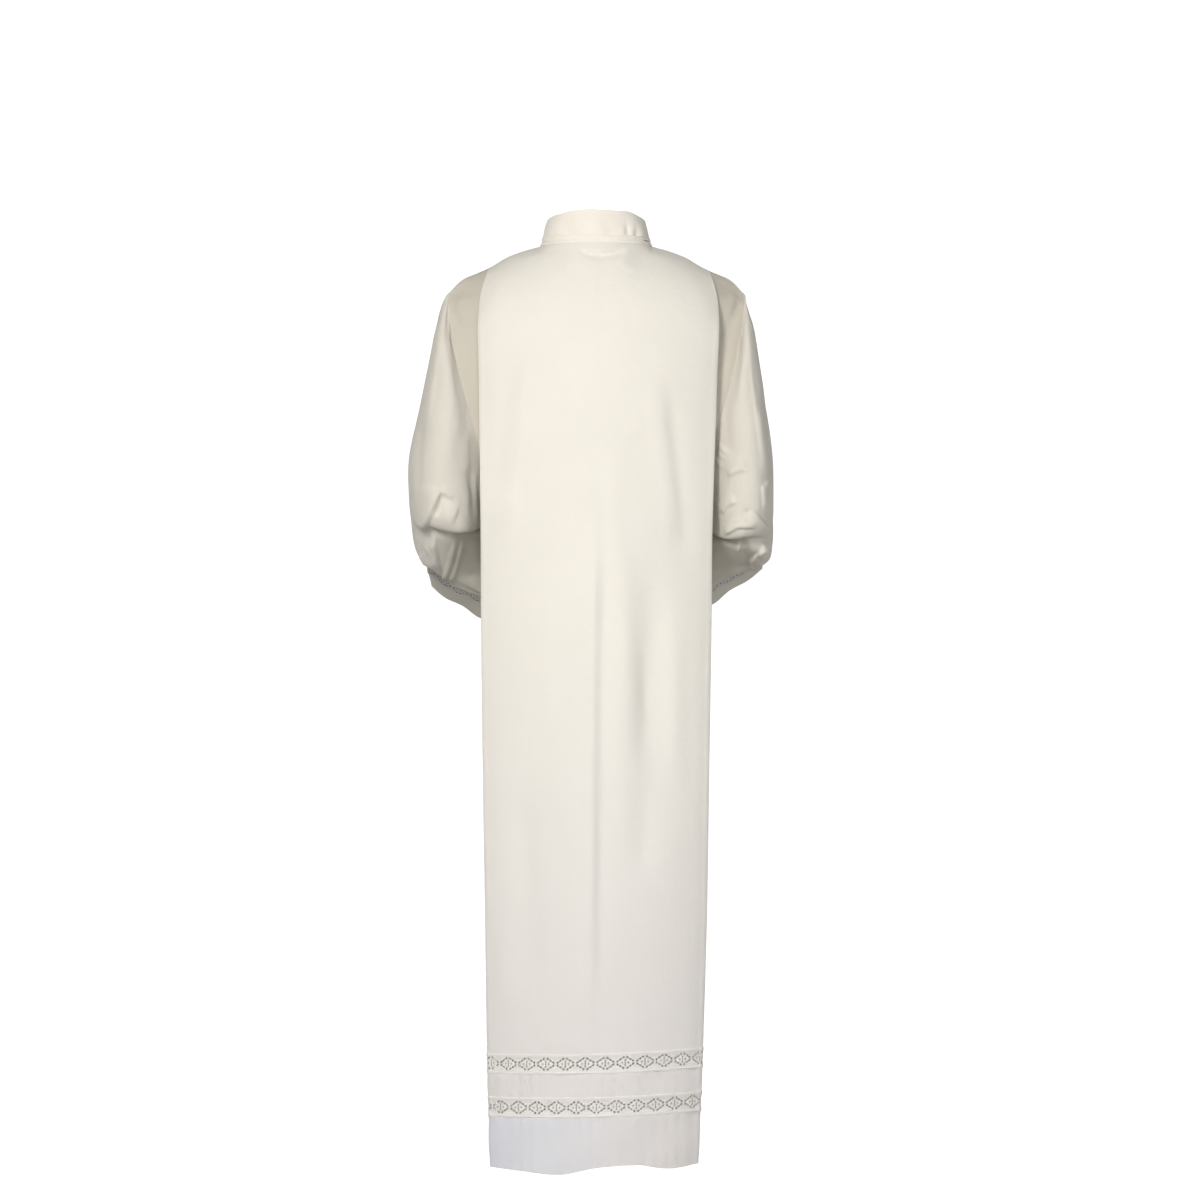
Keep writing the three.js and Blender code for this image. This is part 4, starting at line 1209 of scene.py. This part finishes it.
@dataclass
class LaceStrip:
    """A strip of lace along a path, with its gaps cut through and painted shade round them, or drawn dark
    with painted shade where it isn't pierced.
    """

    name: str
    node: str
    length: float
    first: float
    worn: Form  # points, of millimetres along the strip and above its foot
    finishes: Finishes
    cell: float = 1.15
    relief: float = 0.5
    lap: float = 1.0
    pierced: bool = True

    def build(self) -> bpy.types.Object:
        """Makes the strip.

        Returns:
            The piece.
        """
        columns, rows = round(self.length / self.cell), round(LACE.high / self.cell)
        sheet = ClothSheet(self.name, (self.node,), "lace", columns, rows,
                           (self.length * MM, (LACE.high + 2 * self.lap) * MM), thick=0.7)
        bm = sheet.grid()
        bm.faces.ensure_lookup_table()
        middle = np.array([f.calc_center_median()[:2] for f in bm.faces])
        away = LACE.gap(middle[:, 0] * self.length - self.first, middle[:, 1] * LACE.high)
        inside = (middle[:, 0] * self.length > 2) & (middle[:, 0] * self.length < self.length - 2)
        if self.pierced:
            gaps = [bm.faces[i] for i in np.flatnonzero((away < 0.1) & inside)]
            bmesh.ops.delete(bm, geom=gaps, context="FACES")
            self.round_gaps(bm)

        def worn(across: Array, down: Array) -> Array:
            """Worn points of shares across and down."""
            return self.worn(across * self.length, (1 - down) * LACE.high)

        def height(p: Array, n: Array, across: Array, down: Array) -> Array:
            """How far the raised work stands out."""
            heading = 0.75 * ease(1.6 - 5 * np.minimum(down, 1 - down))
            return self.relief * cord(across, down) + heading - 0.15

        def cord(across: Array, down: Array) -> Array:
            """Share of raised work."""
            return LACE.cord(across * self.length - self.first, (1 - down) * LACE.high)

        def shown(across: Array, down: Array) -> Array:
            """Share of raised work, or less than 0 in and round the gaps, where shade is painted dark."""
            away = LACE.gap(across * self.length - self.first, (1 - down) * LACE.high)
            # painted shade: -1 fills gaps that aren't pierced, -0.4 darkens the rims of cut ones
            return np.where(away < 0.3, -0.4 if self.pierced else -1.0, cord(across, down))

        finish = self.finishes.lace if self.pierced else self.finishes.shaded_lace
        return sheet.carry(bm, lambda a, d: raised(worn, height, a, d, (2 / self.length, 0.04)),
                           lambda a, d: points(a * self.length * MM, -d * LACE.high * MM, 0),
                           finish, ("cord", shown))

    def round_gaps(self, bm: bmesh.types.BMesh) -> None:
        """Moves the edges of the gaps onto their outlines.

        Args:
            bm: the flat grid, with the faces of its gaps taken out.
        """
        rim = [v for v in bm.verts if any(len(e.link_faces) == 1 for e in v.link_edges)
               and 1e-4 < v.co.x < 1 - 1e-4 and 1e-4 < v.co.y < 1 - 1e-4]
        if not rim:
            return
        s = np.array([v.co.x for v in rim]) * self.length - self.first
        h = np.array([v.co.y for v in rim]) * LACE.high
        for _ in range(2):
            f, e = LACE.gap(s, h), 0.05
            gs = (LACE.gap(s + e, h) - LACE.gap(s - e, h)) / (2 * e)
            gh = (LACE.gap(s, h + e) - LACE.gap(s, h - e)) / (2 * e)
            step = np.clip(f, -0.5, 0.5) / np.maximum(gs**2 + gh**2, 0.3)
            s, h = s - step * gs, h - step * gh
        for v, a, b in zip(rim, s, h):
            v.co.x, v.co.y = (a + self.first) / self.length, b / LACE.high


@dataclass
class SkirtLace:
    """The two lace insertions round the skirt, each in a back and a front strip."""

    finishes: Finishes

    def build(self) -> None:
        """Makes the four strips."""
        lower = BODY.lace + BODY.mid_band
        for name, level, first in (("lace_upper", 0.0, 7.5), ("lace_lower", lower, 22.5)):
            z = BODY.lace_height - level - BODY.lace / 2
            q = np.linspace(0, 10, 6001)
            self.strip(f"{name}_back", BODY.back, q, z, level, first, 4.0)
            v = np.linspace(-1, 1, 2001)
            self.strip(f"{name}_front", BODY.front, v, z, level, 8.0, -1.0)

    def strip(self, node: str, face: Form, path: Array, z: float, level: float, first: float,
              start: float) -> None:
        """Makes one strip.

        Args:
            node: the solid that it stands for.
            face: the form that it follows.
            path: places along that form.
            z: height of its middle.
            level: how far below the upper lace's line it starts.
            first: where the first diamond's middle lies.
            start: the place on the path from which that is measured.
        """
        p = face(path, np.full(path.shape, z))
        run = run_lengths(p)
        lap = LaceStrip.lap

        def worn(s: Array, h: Array) -> Array:
            """Worn points, of millimetres along and up."""
            spot = np.interp(s, run, path)
            return BODY.on_line(face, spot, level - lap + (BODY.lace + 2 * lap) * (1 - h / BODY.lace))

        origin = np.interp(start, path, run) + first
        LaceStrip(f"{node}_strip", node, float(run[-1]), float(origin), worn, self.finishes).build()


# ---- sleeves ----
SLEEVE_POINTS = Table("ox oy oz bx by bz ix iy iz fx fy fz right_x right_z", (
    (239, -4, -100, 212, 60, -232, 168, -8, -390, 207, -68, -232, -6, 0),
    (252, -4, -165, 221, 70, -276, 172, -10, -402, 214, -78, -268, -7, 0),
    (267, -6, -235, 227, 76, -324, 173, -14, -413, 222, -88, -305, -9, 0),
    (285, -10, -312, 231, 76, -380, 173, -22, -424, 226, -100, -335, -16, 0),
    (286, -18, -366, 228, 66, -434, 172, -30, -434, 221, -116, -342, -15, 0),
    (284, -30, -398, 224, 26, -456, 167, -52, -445, 213, -132, -345, -14, 2),
    (277, -56, -440, 214, -30, -492, 152, -102, -456, 198, -156, -342, -11, 12),
    (255, -130, -515, 180, -142, -566, 108, -188, -498, 160, -254, -366, 3, 23),
))
QUARTERS = Table("quarter armhole hem", ((0, 0, 0), (1, 5.5, 4), (2, 11, 8.2), (3, 16.5, 14), (4, 22, 22)))
LEFT_CREASES = Creases((
    # x0    z0    x1    z1    x2    z2   left right  out
    (231, -110, 240, -170, 258, -290, 14, 5, 2.6),
    (226, -118, 222, -190, 214, -270, 16, 7, 2.4),
    (190, -232, 196, -262, 200, -300, 8, 8, -2.0),
    (214, -262, 226, -310, 233, -364, 12, 12, 2.2),
    (232, -364, 246, -402, 274, -458, 20, 1.8, 7.5),
    (229, -374, 234, -392, 243, -410, 5, 10, -4.0),
    (234, -371, 226, -374, 218, -386, 2.0, 8, 2.6),
    (236, -400, 224, -404, 208, -410, 14, 14, 4.0),
    (262, -250, 268, -310, 268, -380, 7, 7, -2.0),
    (196, -330, 186, -372, 180, -416, 6, 8, -2.4),
    (184, -340, 182, -380, 180, -420, 4, 3, 2.4),
))
LEFT_LOWER = Creases((
    (246, -436, 243, -470, 240, -486, 16, 2.0, 7.0),
    (272, -462, 262, -478, 244, -484, 2, 9, 3.0),
    (262, -446, 252, -462, 244, -482, 2.2, 2.2, 1.8),
    (212, -436, 230, -492, 247, -526, 2.4, 7.0, 6.5),
    (200, -436, 218, -492, 236, -526, 2.4, 5.0, 4.5),
    (196, -448, 190, -480, 186, -510, 12, 12, -3.0),
))
RIGHT_CREASES = Creases((
    (-232, -84, -240, -150, -252, -250, 5, 14, 2.4),
    (-228, -92, -226, -170, -216, -250, 6, 16, 2.6),
    (-226, -110, -234, -200, -252, -330, 3, 9, 2.0),
    (-198, -350, -213, -341, -230, -337, 12, 2.2, 4.0),
    (-190, -406, -200, -393, -214, -387, 11, 2.2, 4.0),
    (-192, -438, -214, -425, -246, -424, 11, 2.4, 4.4),
    (-232, -398, -247, -414, -262, -430, 9, 2.2, 4.0),
    (-228, -396, -227, -410, -227, -420, 6, 6, -2.6),
    (-262, -354, -251, -366, -254, -404, 2, 8, 3.0),
    (-175, -375, -173, -405, -174, -438, 2, 4, 2.4),
    (-184, -296, -191, -306, -198, -314, 2.0, 3.0, 2.0),
    (-182, -306, -190, -318, -197, -326, 2.0, 3.0, 2.0),
    (-180, -322, -187, -331, -194, -336, 2.0, 3.0, 2.0),
    (-186, -300, -204, -318, -222, -322, 8, 3, 2.2),
    (-244, -240, -250, -300, -256, -350, 5, 12, 2.2),
    (-190, -230, -200, -290, -204, -330, 8, 8, -2.0),
))
RIGHT_LOWER = Creases((
    (-262, -452, -248, -464, -233, -479, 2, 9, 6.0),
    (-214, -446, -222, -464, -233, -479, 9, 2.2, 6.0),
    (-234, -480, -246, -490, -258, -496, 2, 9, 4.5),
    (-242, -462, -247, -470, -250, -478, 4, 4, -3.5),
))


# side, ring, station and rise of places where the bent sleeve's lower fold has settled
SETTLED = ((1, 6.6, 8.6, 20), (1, 6.6, 6.4, 20), (-1, 6.9, 1.6, -38), (-1, 6.6, 8.4, 18), (-1, 6.6, 6.2, 8))


# lowest line of the sleeves' hems, seen from behind
HEM_LINE = Table("x left right", (
    (100, -566, -556), (175, -566, -548), (199, -549, -527), (219, -540, -514), (249, -522, -497),
    (262, -500, -480),
))


@dataclass
class Sleeve:
    """One wide sleeve, bent at the elbow, with lace and a plain band at its hem."""

    side: Side
    creases: Creases
    lower: Creases
    finishes: Finishes
    stations: int = 22
    cuff: float = 36
    # share of painted shade drawn on the cuff bands
    cuff_single: float = 0.7
    around: int = 200
    along: int = 170
    cut: tuple[float, float] = (0.48, 0.33)
    laid: tuple[float, float] = (0.62, 0.44)
    cuff_cut: tuple[float, float] = (0.66, 0.036)

    def __post_init__(self) -> None:
        """Works out its rings."""
        self.name = self.side.name.lower()
        rings = [self.ring(n) for n in range(8)]
        self.hem = rings.pop()
        line = HEM_LINE.track("left" if self.side > 0 else "right", np.abs(self.hem[:, 0]))
        low = np.arange(self.stations) < 5
        self.hem[low, 2] = np.maximum(self.hem[low, 2], line[low])
        edge = unit(np.roll(self.hem, -1, 0) - np.roll(self.hem, 1, 0))
        back = unit(rings[-1] - self.hem)
        back = unit(back - edge * np.sum(back * edge, 1, keepdims=True))
        for _ in range(2):
            back = unit(2 * back + np.roll(back, -1, 0) + np.roll(back, 1, 0))
        self.back = back
        self.half_seam = BODY.seam * 0.8
        levels = (self.cuff + BODY.lace + self.half_seam, self.cuff)
        ends = [self.hem + back * length for length in levels]
        armhole, tucked = self.armhole()
        self.rings = np.stack([tucked, armhole, *rings, *ends])
        for side, ring, station, rise in SETTLED:
            if side == self.side:
                away = (np.arange(self.stations) - station + 11) % self.stations - 11
                lift = rise * bell((np.arange(2, 9)[:, None] - ring) / 1.2) * bell(away / 2.2)
                self.rings[2:9, :, 2] += lift

    def section(self, row: tuple[float, ...], angle: Array) -> Array:
        """Closed curve through a row's four points.

        Args:
            row: a row of the table of points.
            angle: turns from the outer point by the back.

        Returns:
            Points of the curve.
        """
        p = np.array(row[:12]).reshape(4, 3)
        if self.side < 0:
            p = p + np.array([[row[12], 0, row[13]]] + [[0, 0, row[13]]] * 3)
        o, b, i, f = p
        c, s, d = np.cos(angle)[:, None], np.sin(angle)[:, None], np.cos(2 * angle)[:, None]
        curve = (o + b + i + f) / 4 + c * (o - i) / 2 + s * (b - f) / 2 + d * (o + i - b - f) / 4
        return curve * (self.side, 1, 1)

    def ring(self, index: int) -> Array:
        """Stations round one row of the table.

        Args:
            index: the row.

        Returns:
            One point a station, from the outer point by the back.
        """
        curve = self.section(SLEEVE_POINTS.rows[index], np.linspace(0, 2 * np.pi, 361))
        run = run_lengths(curve)
        marks = mix(QUARTERS.column("armhole"), QUARTERS.column("hem"), (index + 1) / 8)
        goal = np.interp(np.arange(self.stations), marks, run[::90])
        return np.stack([np.interp(goal, run, curve[:, n]) for n in range(3)], axis=1)

    def armhole(self) -> tuple[Array, Array]:
        """Ring just outside the armhole edges, and its seam allowance inside them.

        Returns:
            The ring and the seam allowance.
        """
        rows = np.array(ARMHOLE_ROWS)
        faces = []
        for face, ends in ((BODY.back, (0.0, 0.25) if self.side > 0 else (10.0, 9.75)),
                           (BODY.front, (1.0 * self.side, ARMHOLE_INSIDE / SHOULDER_END * self.side))):
            edge, near = [self.column(face, spot, rows) for spot in ends]
            away = (edge - near) * (1, 0, 1) + (self.side * 12, 0, 0)
            faces.append(edge + unit(away) * 0.5)
        back, front = faces
        ring = np.concatenate((back, front[-2:0:-1]))
        ring[0] = (back[0] + front[0]) / 2 + (self.side * 0.6, 0, 0.4)
        ring[11] = (back[-1] + front[-1]) / 2 + (self.side * 1.2, 0, -0.8)
        inward = unit((ring.mean(0) - ring) * (0, 1, 1))
        return ring, ring + inward * 1.4 - (self.side * 6, 0, 0)

    @staticmethod
    def column(face: Form, spot: float, rows: Array) -> Array:
        """Points of one column of front or back at the armhole's rows.

        Args:
            face: the form of front or back.
            spot: the column's place on its path.
            rows: shares down.

        Returns:
            The points.
        """
        spots = np.full(rows.shape, spot)
        back = face == BODY.back
        top_x = BODY.top_x(spots) if back else spots * SHOULDER_END
        top_z = BODY.top_edge(top_x, not back)[1]
        foot = BODY.on_line(face, spots, -BODY.seam / 2)[:, 2]
        return face(spots, mix(top_z, foot, rows))

    def station(self, across: Array) -> Array:
        """Station of a share round the sleeve, so that faces point outwards on both sides."""
        return self.stations * (across if self.side > 0 else 1 - across)

    def denser(self, across: Array, down: Array) -> tuple[Array, Array]:
        """Shares moved closer together behind and in the lower half, where the folds lie."""
        across = across + 0.06 * self.side * (np.cos(2 * np.pi * across) - 1)
        return across, np.interp(down, (0, 0.03, 0.38, 0.95, 1), (0, 0.03, 0.46, 0.93, 1))

    def at(self, grid: Array, ring: Array | int, station: Array) -> Array:
        """Smooth point round a ring.

        Args:
            grid: rings of points.
            ring: which ring.
            station: places round it.

        Returns:
            The points.
        """
        i = np.floor(station).astype(int)
        near = [grid[ring, (i + n) % self.stations] for n in (-1, 0, 1, 2)]
        return through(*near, (station - i)[:, None])

    def upper(self, across: Array, down: Array) -> Array:
        """Main piece, from the armhole to the lace.

        Args:
            across: shares across, from 0 to 1.
            down: shares down, from 0 to 1.

        Returns:
            The worn points.
        """
        r, station = np.interp(down, (0, 0.03, 1), (0, 1, 9)), self.station(across)
        i = np.clip(np.floor(r), 0, 8).astype(int)
        near = [self.at(self.rings, np.clip(i + n, 0, 10), station) for n in (-1, 0, 1, 2)]
        smooth = through(*near, (r - i)[:, None])
        return np.where((r < 1)[:, None], mix(near[1], near[2], (r - i)[:, None]), smooth)

    def creased(self, p: Array, n: Array, across: Array, down: Array) -> Array:
        """How far creases stand out, as seen from behind, and softer ones elsewhere.

        Args:
            p: worn points.
            n: their directions.
            across: shares across, from 0 to 1.
            down: shares down, from 0 to 1.

        Returns:
            Millimetres to move out.
        """
        behind = ease(n[:, 1] * 3 + 0.4)
        ends = ease((down - 0.03) * 14) * ease((1 - down) * 10)
        upper = 1 - ease((down - 0.68) * 14)
        x, z = p[:, 0], p[:, 2]
        angle = across * 2 * np.pi
        soft = 1.3 * np.sin(3 * angle + 9 * down + self.side) * np.sin(14 * down + 2 * angle) * (1 - behind)
        heads = 1.2 * np.sin(angle * 16) * bell((down - 0.06) / 0.025) * ease(1.3 - np.abs(z + 90) / 60)
        inner = ease((266 - np.abs(x)) / 22) if self.side > 0 else 1.0
        tuck = -9 * bell((down - 0.705) / 0.028) * behind * inner
        lower = self.lower.at(x, z) * ease(down * 14 - 9.6)
        return (self.creases.at(x, z) * behind * upper + lower * behind + soft + tuck) * ends + heads

    def single(self, across: Array, down: Array) -> Array:
        """Share of painted shade on the lower sleeve, in the shade under the fold at the elbow.

        Args:
            across: shares across, from 0 to 1.
            down: shares down, from 0 to 1.

        Returns:
            Shares from 0 to 1.
        """
        p = self.upper(across, down)
        x, z = np.abs(p[:, 0]), p[:, 2]
        edge = 214 + (-428 - z) * (0.37 if self.side > 0 else 0.7)
        return ease((down - 0.69) * 30) * ease((edge - x) / 8 + 0.5)

    def end(self, station: Array, length: Array) -> Array:
        """Points of lace and band, of a distance back from the hem."""
        hem = self.at(self.hem[None], 0, station)
        return hem + self.at(self.back[None], 0, station) * np.asarray(length)[..., None]

    def build(self) -> None:
        """Makes the sleeve, its band and its two lace strips."""
        sheet = ClothSheet(f"sleeve_{self.name}_cloth", (f"sleeve_{self.name}",), "sleeve_cloth",
                           self.around, self.along, self.cut, Held.DRAPED, closed=True)
        wide, long = self.laid
        step = (0.006, 0.008)
        # the lower sleeve carries a mask of painted shade
        sheet.carry(sheet.grid(), lambda a, d: raised(self.upper, self.creased, *self.denser(a, d), step),
                    lambda a, d: points(wide * self.denser(a, d)[0], -long * self.denser(a, d)[1], 0),
                    self.finishes.sleeve, ("single", lambda a, d: self.single(*self.denser(a, d))))
        band = ClothSheet(f"cuff_{self.name}_cloth", (f"cuff_{self.name}",), "sleeve_cloth", 140, 10,
                          self.cuff_cut, Held.DRAPED, closed=True)
        band_wide, band_long = self.cuff_cut
        high = self.cuff - self.half_seam
        # the cuff band carries painted shade at a fixed share
        band.carry(band.grid(), lambda a, d: self.end(self.station(a), high * (1 - d)),
                   lambda a, d: points(band_wide * a, -band_long * d, 0), self.finishes.sleeve,
                   ("single", lambda a, d: self.cuff_single + 0 * a))
        self.lace()

    def lace(self) -> None:
        """Makes the outer and the inner strip of lace."""
        dense = np.linspace(0, self.stations, 2201)
        p = self.end(dense, np.full(dense.shape, self.cuff + BODY.lace / 2))
        run = run_lengths(p)
        lap, edge_gap, first = LaceStrip.lap, 0.3, 15.0
        for title, start, stop in (("outer", 0, 11), ("inner", 11, 22)):
            low, high = np.interp((start, stop), dense, run)
            low, high = low + edge_gap, high - edge_gap

            def worn(s: Array, h: Array, low: float = low, high: float = high) -> Array:
                """Worn points, of millimetres along and up."""
                along = low + s if self.side > 0 else high - s
                level = self.cuff - lap + (BODY.lace + 2 * lap) * h / BODY.lace
                return self.end(np.interp(along, run, dense), level)

            LaceStrip(f"sleeve_lace_{self.name}_{title}_strip", f"sleeve_lace_{self.name}_{title}",
                      float(high - low), first, worn, self.finishes, 1.1, pierced=False).build()


# ---- collar ----
@dataclass
class Collar:
    """Stand collar on a narrow binding round the neck edge, open at the front."""

    finishes: Finishes
    binding_height: float = 9.5
    height: float = 38.5
    lean: float = 9
    side_drop: float = 9
    cut: tuple[float, float] = (0.43, 0.037)
    cut_area: float = 0.0142
    laid: tuple[float, float] = (0.46, 0.036)
    binding_cut: tuple[float, float] = (0.46, 0.013)
    binding_laid: tuple[float, float] = (0.47, 0.014)

    def edge(self, across: Array) -> Array:
        """Neck edge from the front's middle by the wearer's right, the back and their left.

        Args:
            across: shares across, from 0 to 1.

        Returns:
            Points of the edge.
        """
        angle = mix(0.004, 2 * np.pi - 0.004, across)
        x = -BODY.neck_half_width * np.sin(angle)
        front = np.cos(angle) > 0
        fy, fz = BODY.top_edge(x, True)
        by, bz = BODY.top_edge(x, False)
        return points(x, np.where(front, fy, by), np.where(front, fz, bz))

    def wall(self, across: Array, h: Array) -> Array:
        """Points at a height above the neck edge, leaning in.

        Args:
            across: shares across, from 0 to 1.
            h: heights above the edge.

        Returns:
            The points.
        """
        p = self.edge(across)
        lean = self.lean * h / (self.binding_height + self.height)
        round_ = np.hypot(p[:, 0] / BODY.neck_half_width, p[:, 1] / BODY.neck_back)
        x = p[:, 0] * (1 - 1.4 * lean / BODY.neck_half_width / round_)
        y = p[:, 1] * (1 - 0.6 * lean / BODY.neck_back / round_)
        return points(x, y, p[:, 2] + 1.3 + h)

    def top(self, across: Array) -> Array:
        """Height of the collar's soft upper edge.

        Args:
            across: shares across, from 0 to 1.

        Returns:
            The heights.
        """
        p = self.edge(across)
        w = np.abs(p[:, 0]) / 80
        drop = np.where(p[:, 1] > 0, self.side_drop * np.minimum(w, 1.05) ** 4, self.side_drop * 1.2)
        wave = 1.1 * np.sin(p[:, 0] / 7.5) * np.sin(p[:, 0] / 19 + 1)
        return self.binding_height + self.height - drop + wave

    def stand(self, across: Array, down: Array) -> Array:
        """The stand, with soft puckers above the binding.

        Args:
            across: shares across, from 0 to 1.
            down: shares down, from 0 to 1.

        Returns:
            The worn points.
        """
        foot = self.binding_height + 0.45
        h = mix(self.top(across), foot, down)
        p = self.wall(across, h)
        x = p[:, 0]
        pucker = 1.5 * np.sin(x / 2.3) * bell((x + 54) / 15) * bell((down - 0.95) / 0.35)
        soft = 1.5 * np.sin(x / 11 + 1.3) * np.sin(down * 2.4) + 0.8 * np.sin(x / 5.1 + 3 * down) * ease(down)
        out = unit(p * (1, 1.6, 0)) * (np.where(p[:, 1] > 0, pucker + soft, 0.5 * soft)
                                       * ease(np.minimum(across, 1 - across) * 30))[:, None]
        return p + out

    def binding(self, across: Array, down: Array) -> Array:
        """The binding, with two corded ridges and a crease between.

        Args:
            across: shares across, from 0 to 1.
            down: shares down, from 0 to 1.

        Returns:
            The worn points.
        """
        h = mix(self.binding_height, -1.6, down)
        p = self.wall(across, h)
        ridge = 1.1 * np.maximum(bell((down - 0.12) / 0.13), bell((down - 0.84) / 0.14)) - 0.5
        ridge = ridge + 0.25 * np.sin(p[:, 0] / 1.9) * bell((down - 0.5) / 0.3)
        return p + unit(p * (1, 1.6, 0)) * ridge[:, None]

    def build(self) -> None:
        """Makes collar and binding."""
        collar = ClothSheet("collar_stand", ("collar",), "collar_cloth", 260, 34, self.cut,
                            Held.STRETCHED, area=self.cut_area, thick=1.0)
        wide, long = self.laid
        collar.carry(collar.grid(), self.stand, lambda a, d: points(wide * a, -long * d, 0),
                     self.finishes.collar)
        binding = ClothSheet("collar_binding", ("neck_binding",), "collar_cloth", 260, 16,
                             self.binding_cut, Held.STRETCHED, thick=1.6)
        bm = binding.grid()
        slot = [f for f in bm.faces if 0.286 < f.calc_center_median().x < 0.326
                and 0.44 < f.calc_center_median().y < 0.62]
        bmesh.ops.delete(bm, geom=slot, context="FACES_ONLY")
        band_wide, band_long = self.binding_laid
        binding.carry(bm, self.binding, lambda a, d: points(band_wide * a, -band_long * d, 0),
                      self.finishes.collar)


# ---- studio ----
@dataclass(frozen=True)
class Lamp:
    """A soft square light: its place, what it faces, side in metres, watts, tint and spread in degrees."""

    name: str
    place: Place
    goal: Place
    size: float
    power: float
    colour: Colour
    spread: float = 180.0

    def build(self) -> None:
        """Makes the light and turns it to what it faces."""
        data = bpy.data.lights.new(self.name, "AREA")
        data.spread = math.radians(self.spread)
        data.size, data.energy, data.color = self.size, self.power, self.colour
        lamp = bpy.data.objects.new(self.name, data)
        lamp.location = self.place
        direction = np.subtract(self.goal, self.place)
        pitch = math.atan2(math.hypot(direction[0], direction[1]), -direction[2])
        lamp.rotation_euler = (pitch, 0, math.atan2(-direction[0], direction[1]))
        bpy.context.scene.collection.objects.link(lamp)


LAMPS = (
    Lamp("key", (1.1, 3.0, 0.95), (0.0, 0.0, -0.5), 0.8, 78.0, (1.0, 0.958, 0.9)),
    Lamp("fill", (-0.5, 4.8, -0.2), (0.0, 0.0, -0.8), 1.2, 28.0, (1.0, 0.985, 0.98)),
    Lamp("skirt light", (0.0, 3.4, 0.6), (0.0, 0.0, -1.45), 0.9, 1.0, (0.88, 0.92, 1.0), 42.0),
    Lamp("back light", (-0.2, 3.4, 0.3), (-0.12, 0.0, -0.42), 0.5, 0.18, (1.0, 0.965, 0.92), 24.0),
    Lamp("left wing", (2.6, 2.0, 0.2), (0.0, 0.0, -0.5), 0.8, 5.0, (1.0, 0.98, 0.95)),
    Lamp("right wing", (-2.6, 2.0, 0.2), (0.0, 0.0, -0.4), 0.8, 18.0, (1.0, 0.98, 0.95)),
)


@dataclass
class Studio:
    """Pale floor and backdrop, soft lights and the camera behind the wearer."""

    floor_height: float = -1.62
    floor_size: float = 9
    distance: float = 6.0
    view_width: float = 1.8
    aim: tuple[float, float] = (-0.006, -0.5355)
    ambient: float = 0.09

    def build(self) -> None:
        """Makes the studio."""
        scene = bpy.context.scene
        scene.view_settings.view_transform = "Standard"
        world = bpy.data.worlds.new("studio")
        world.use_nodes = True
        world.node_tree.nodes["Background"].inputs[0].default_value = (1.0, 1.0, 1.0, 1)
        world.node_tree.nodes["Background"].inputs[1].default_value = self.ambient
        scene.world = world
        bm = bmesh.new()
        bmesh.ops.create_grid(bm, x_segments=1, y_segments=1, size=self.floor_size)
        bmesh.ops.translate(bm, verts=bm.verts, vec=(0, 0, self.floor_height))
        far = [e for e in bm.edges if all(v.co.y < 1 - self.floor_size for v in e.verts)]
        made = bmesh.ops.extrude_edge_only(bm, edges=far)
        raised_verts = [v for v in made["geom"] if isinstance(v, bmesh.types.BMVert)]
        bmesh.ops.translate(bm, verts=raised_verts, vec=(0, 0, self.floor_size))
        bmesh.ops.bevel(bm, geom=far, offset=self.floor_size / 3, offset_type="OFFSET", segments=16,
                        profile=0.5, affect="EDGES", material=-1)
        mesh = bpy.data.meshes.new("floor")
        bm.to_mesh(mesh)
        bm.free()
        mesh.shade_smooth()
        mesh.materials.append(self.paper())
        floor = bpy.data.objects.new("floor", mesh)
        scene.collection.objects.link(floor)
        for lamp in LAMPS:
            lamp.build()
        data = bpy.data.cameras.new("camera")
        data.lens = 36 * self.distance / self.view_width
        camera = bpy.data.objects.new("camera", data)
        camera.location = (self.aim[0], self.distance + 0.1, self.aim[1])
        camera.rotation_euler = (math.pi / 2, 0, math.pi)
        scene.collection.objects.link(camera)
        scene.camera = camera

    @staticmethod
    def paper() -> bpy.types.Material:
        """Pale paper, lit white far behind the garment.

        Returns:
            The material.
        """
        shade = Shade("pale floor")
        shade.wire(shade.rise(1, -0.6, -1.15), shade.shader.inputs["Emission Strength"])
        shade.set(Base_Color=(0.45, 0.45, 0.45, 1), Roughness=0.9, Specular_IOR_Level=0.1,
                  Emission_Color=(1, 1, 1, 1))
        return shade.material


def main() -> None:
    """Builds the garment and its studio."""
    logging.basicConfig(level=logging.INFO, format="%(name)s %(message)s")
    Studio().build()
    finishes = Finishes()
    BackPanel(finishes).build()
    FrontPanel(finishes).build()
    SkirtLace(finishes).build()
    Sleeve(Side.LEFT, LEFT_CREASES, LEFT_LOWER, finishes).build()
    Sleeve(Side.RIGHT, RIGHT_CREASES, RIGHT_LOWER, finishes).build()
    Collar(finishes).build()
    bpy.context.view_layer.update()


if __name__ == "__main__":
    main()
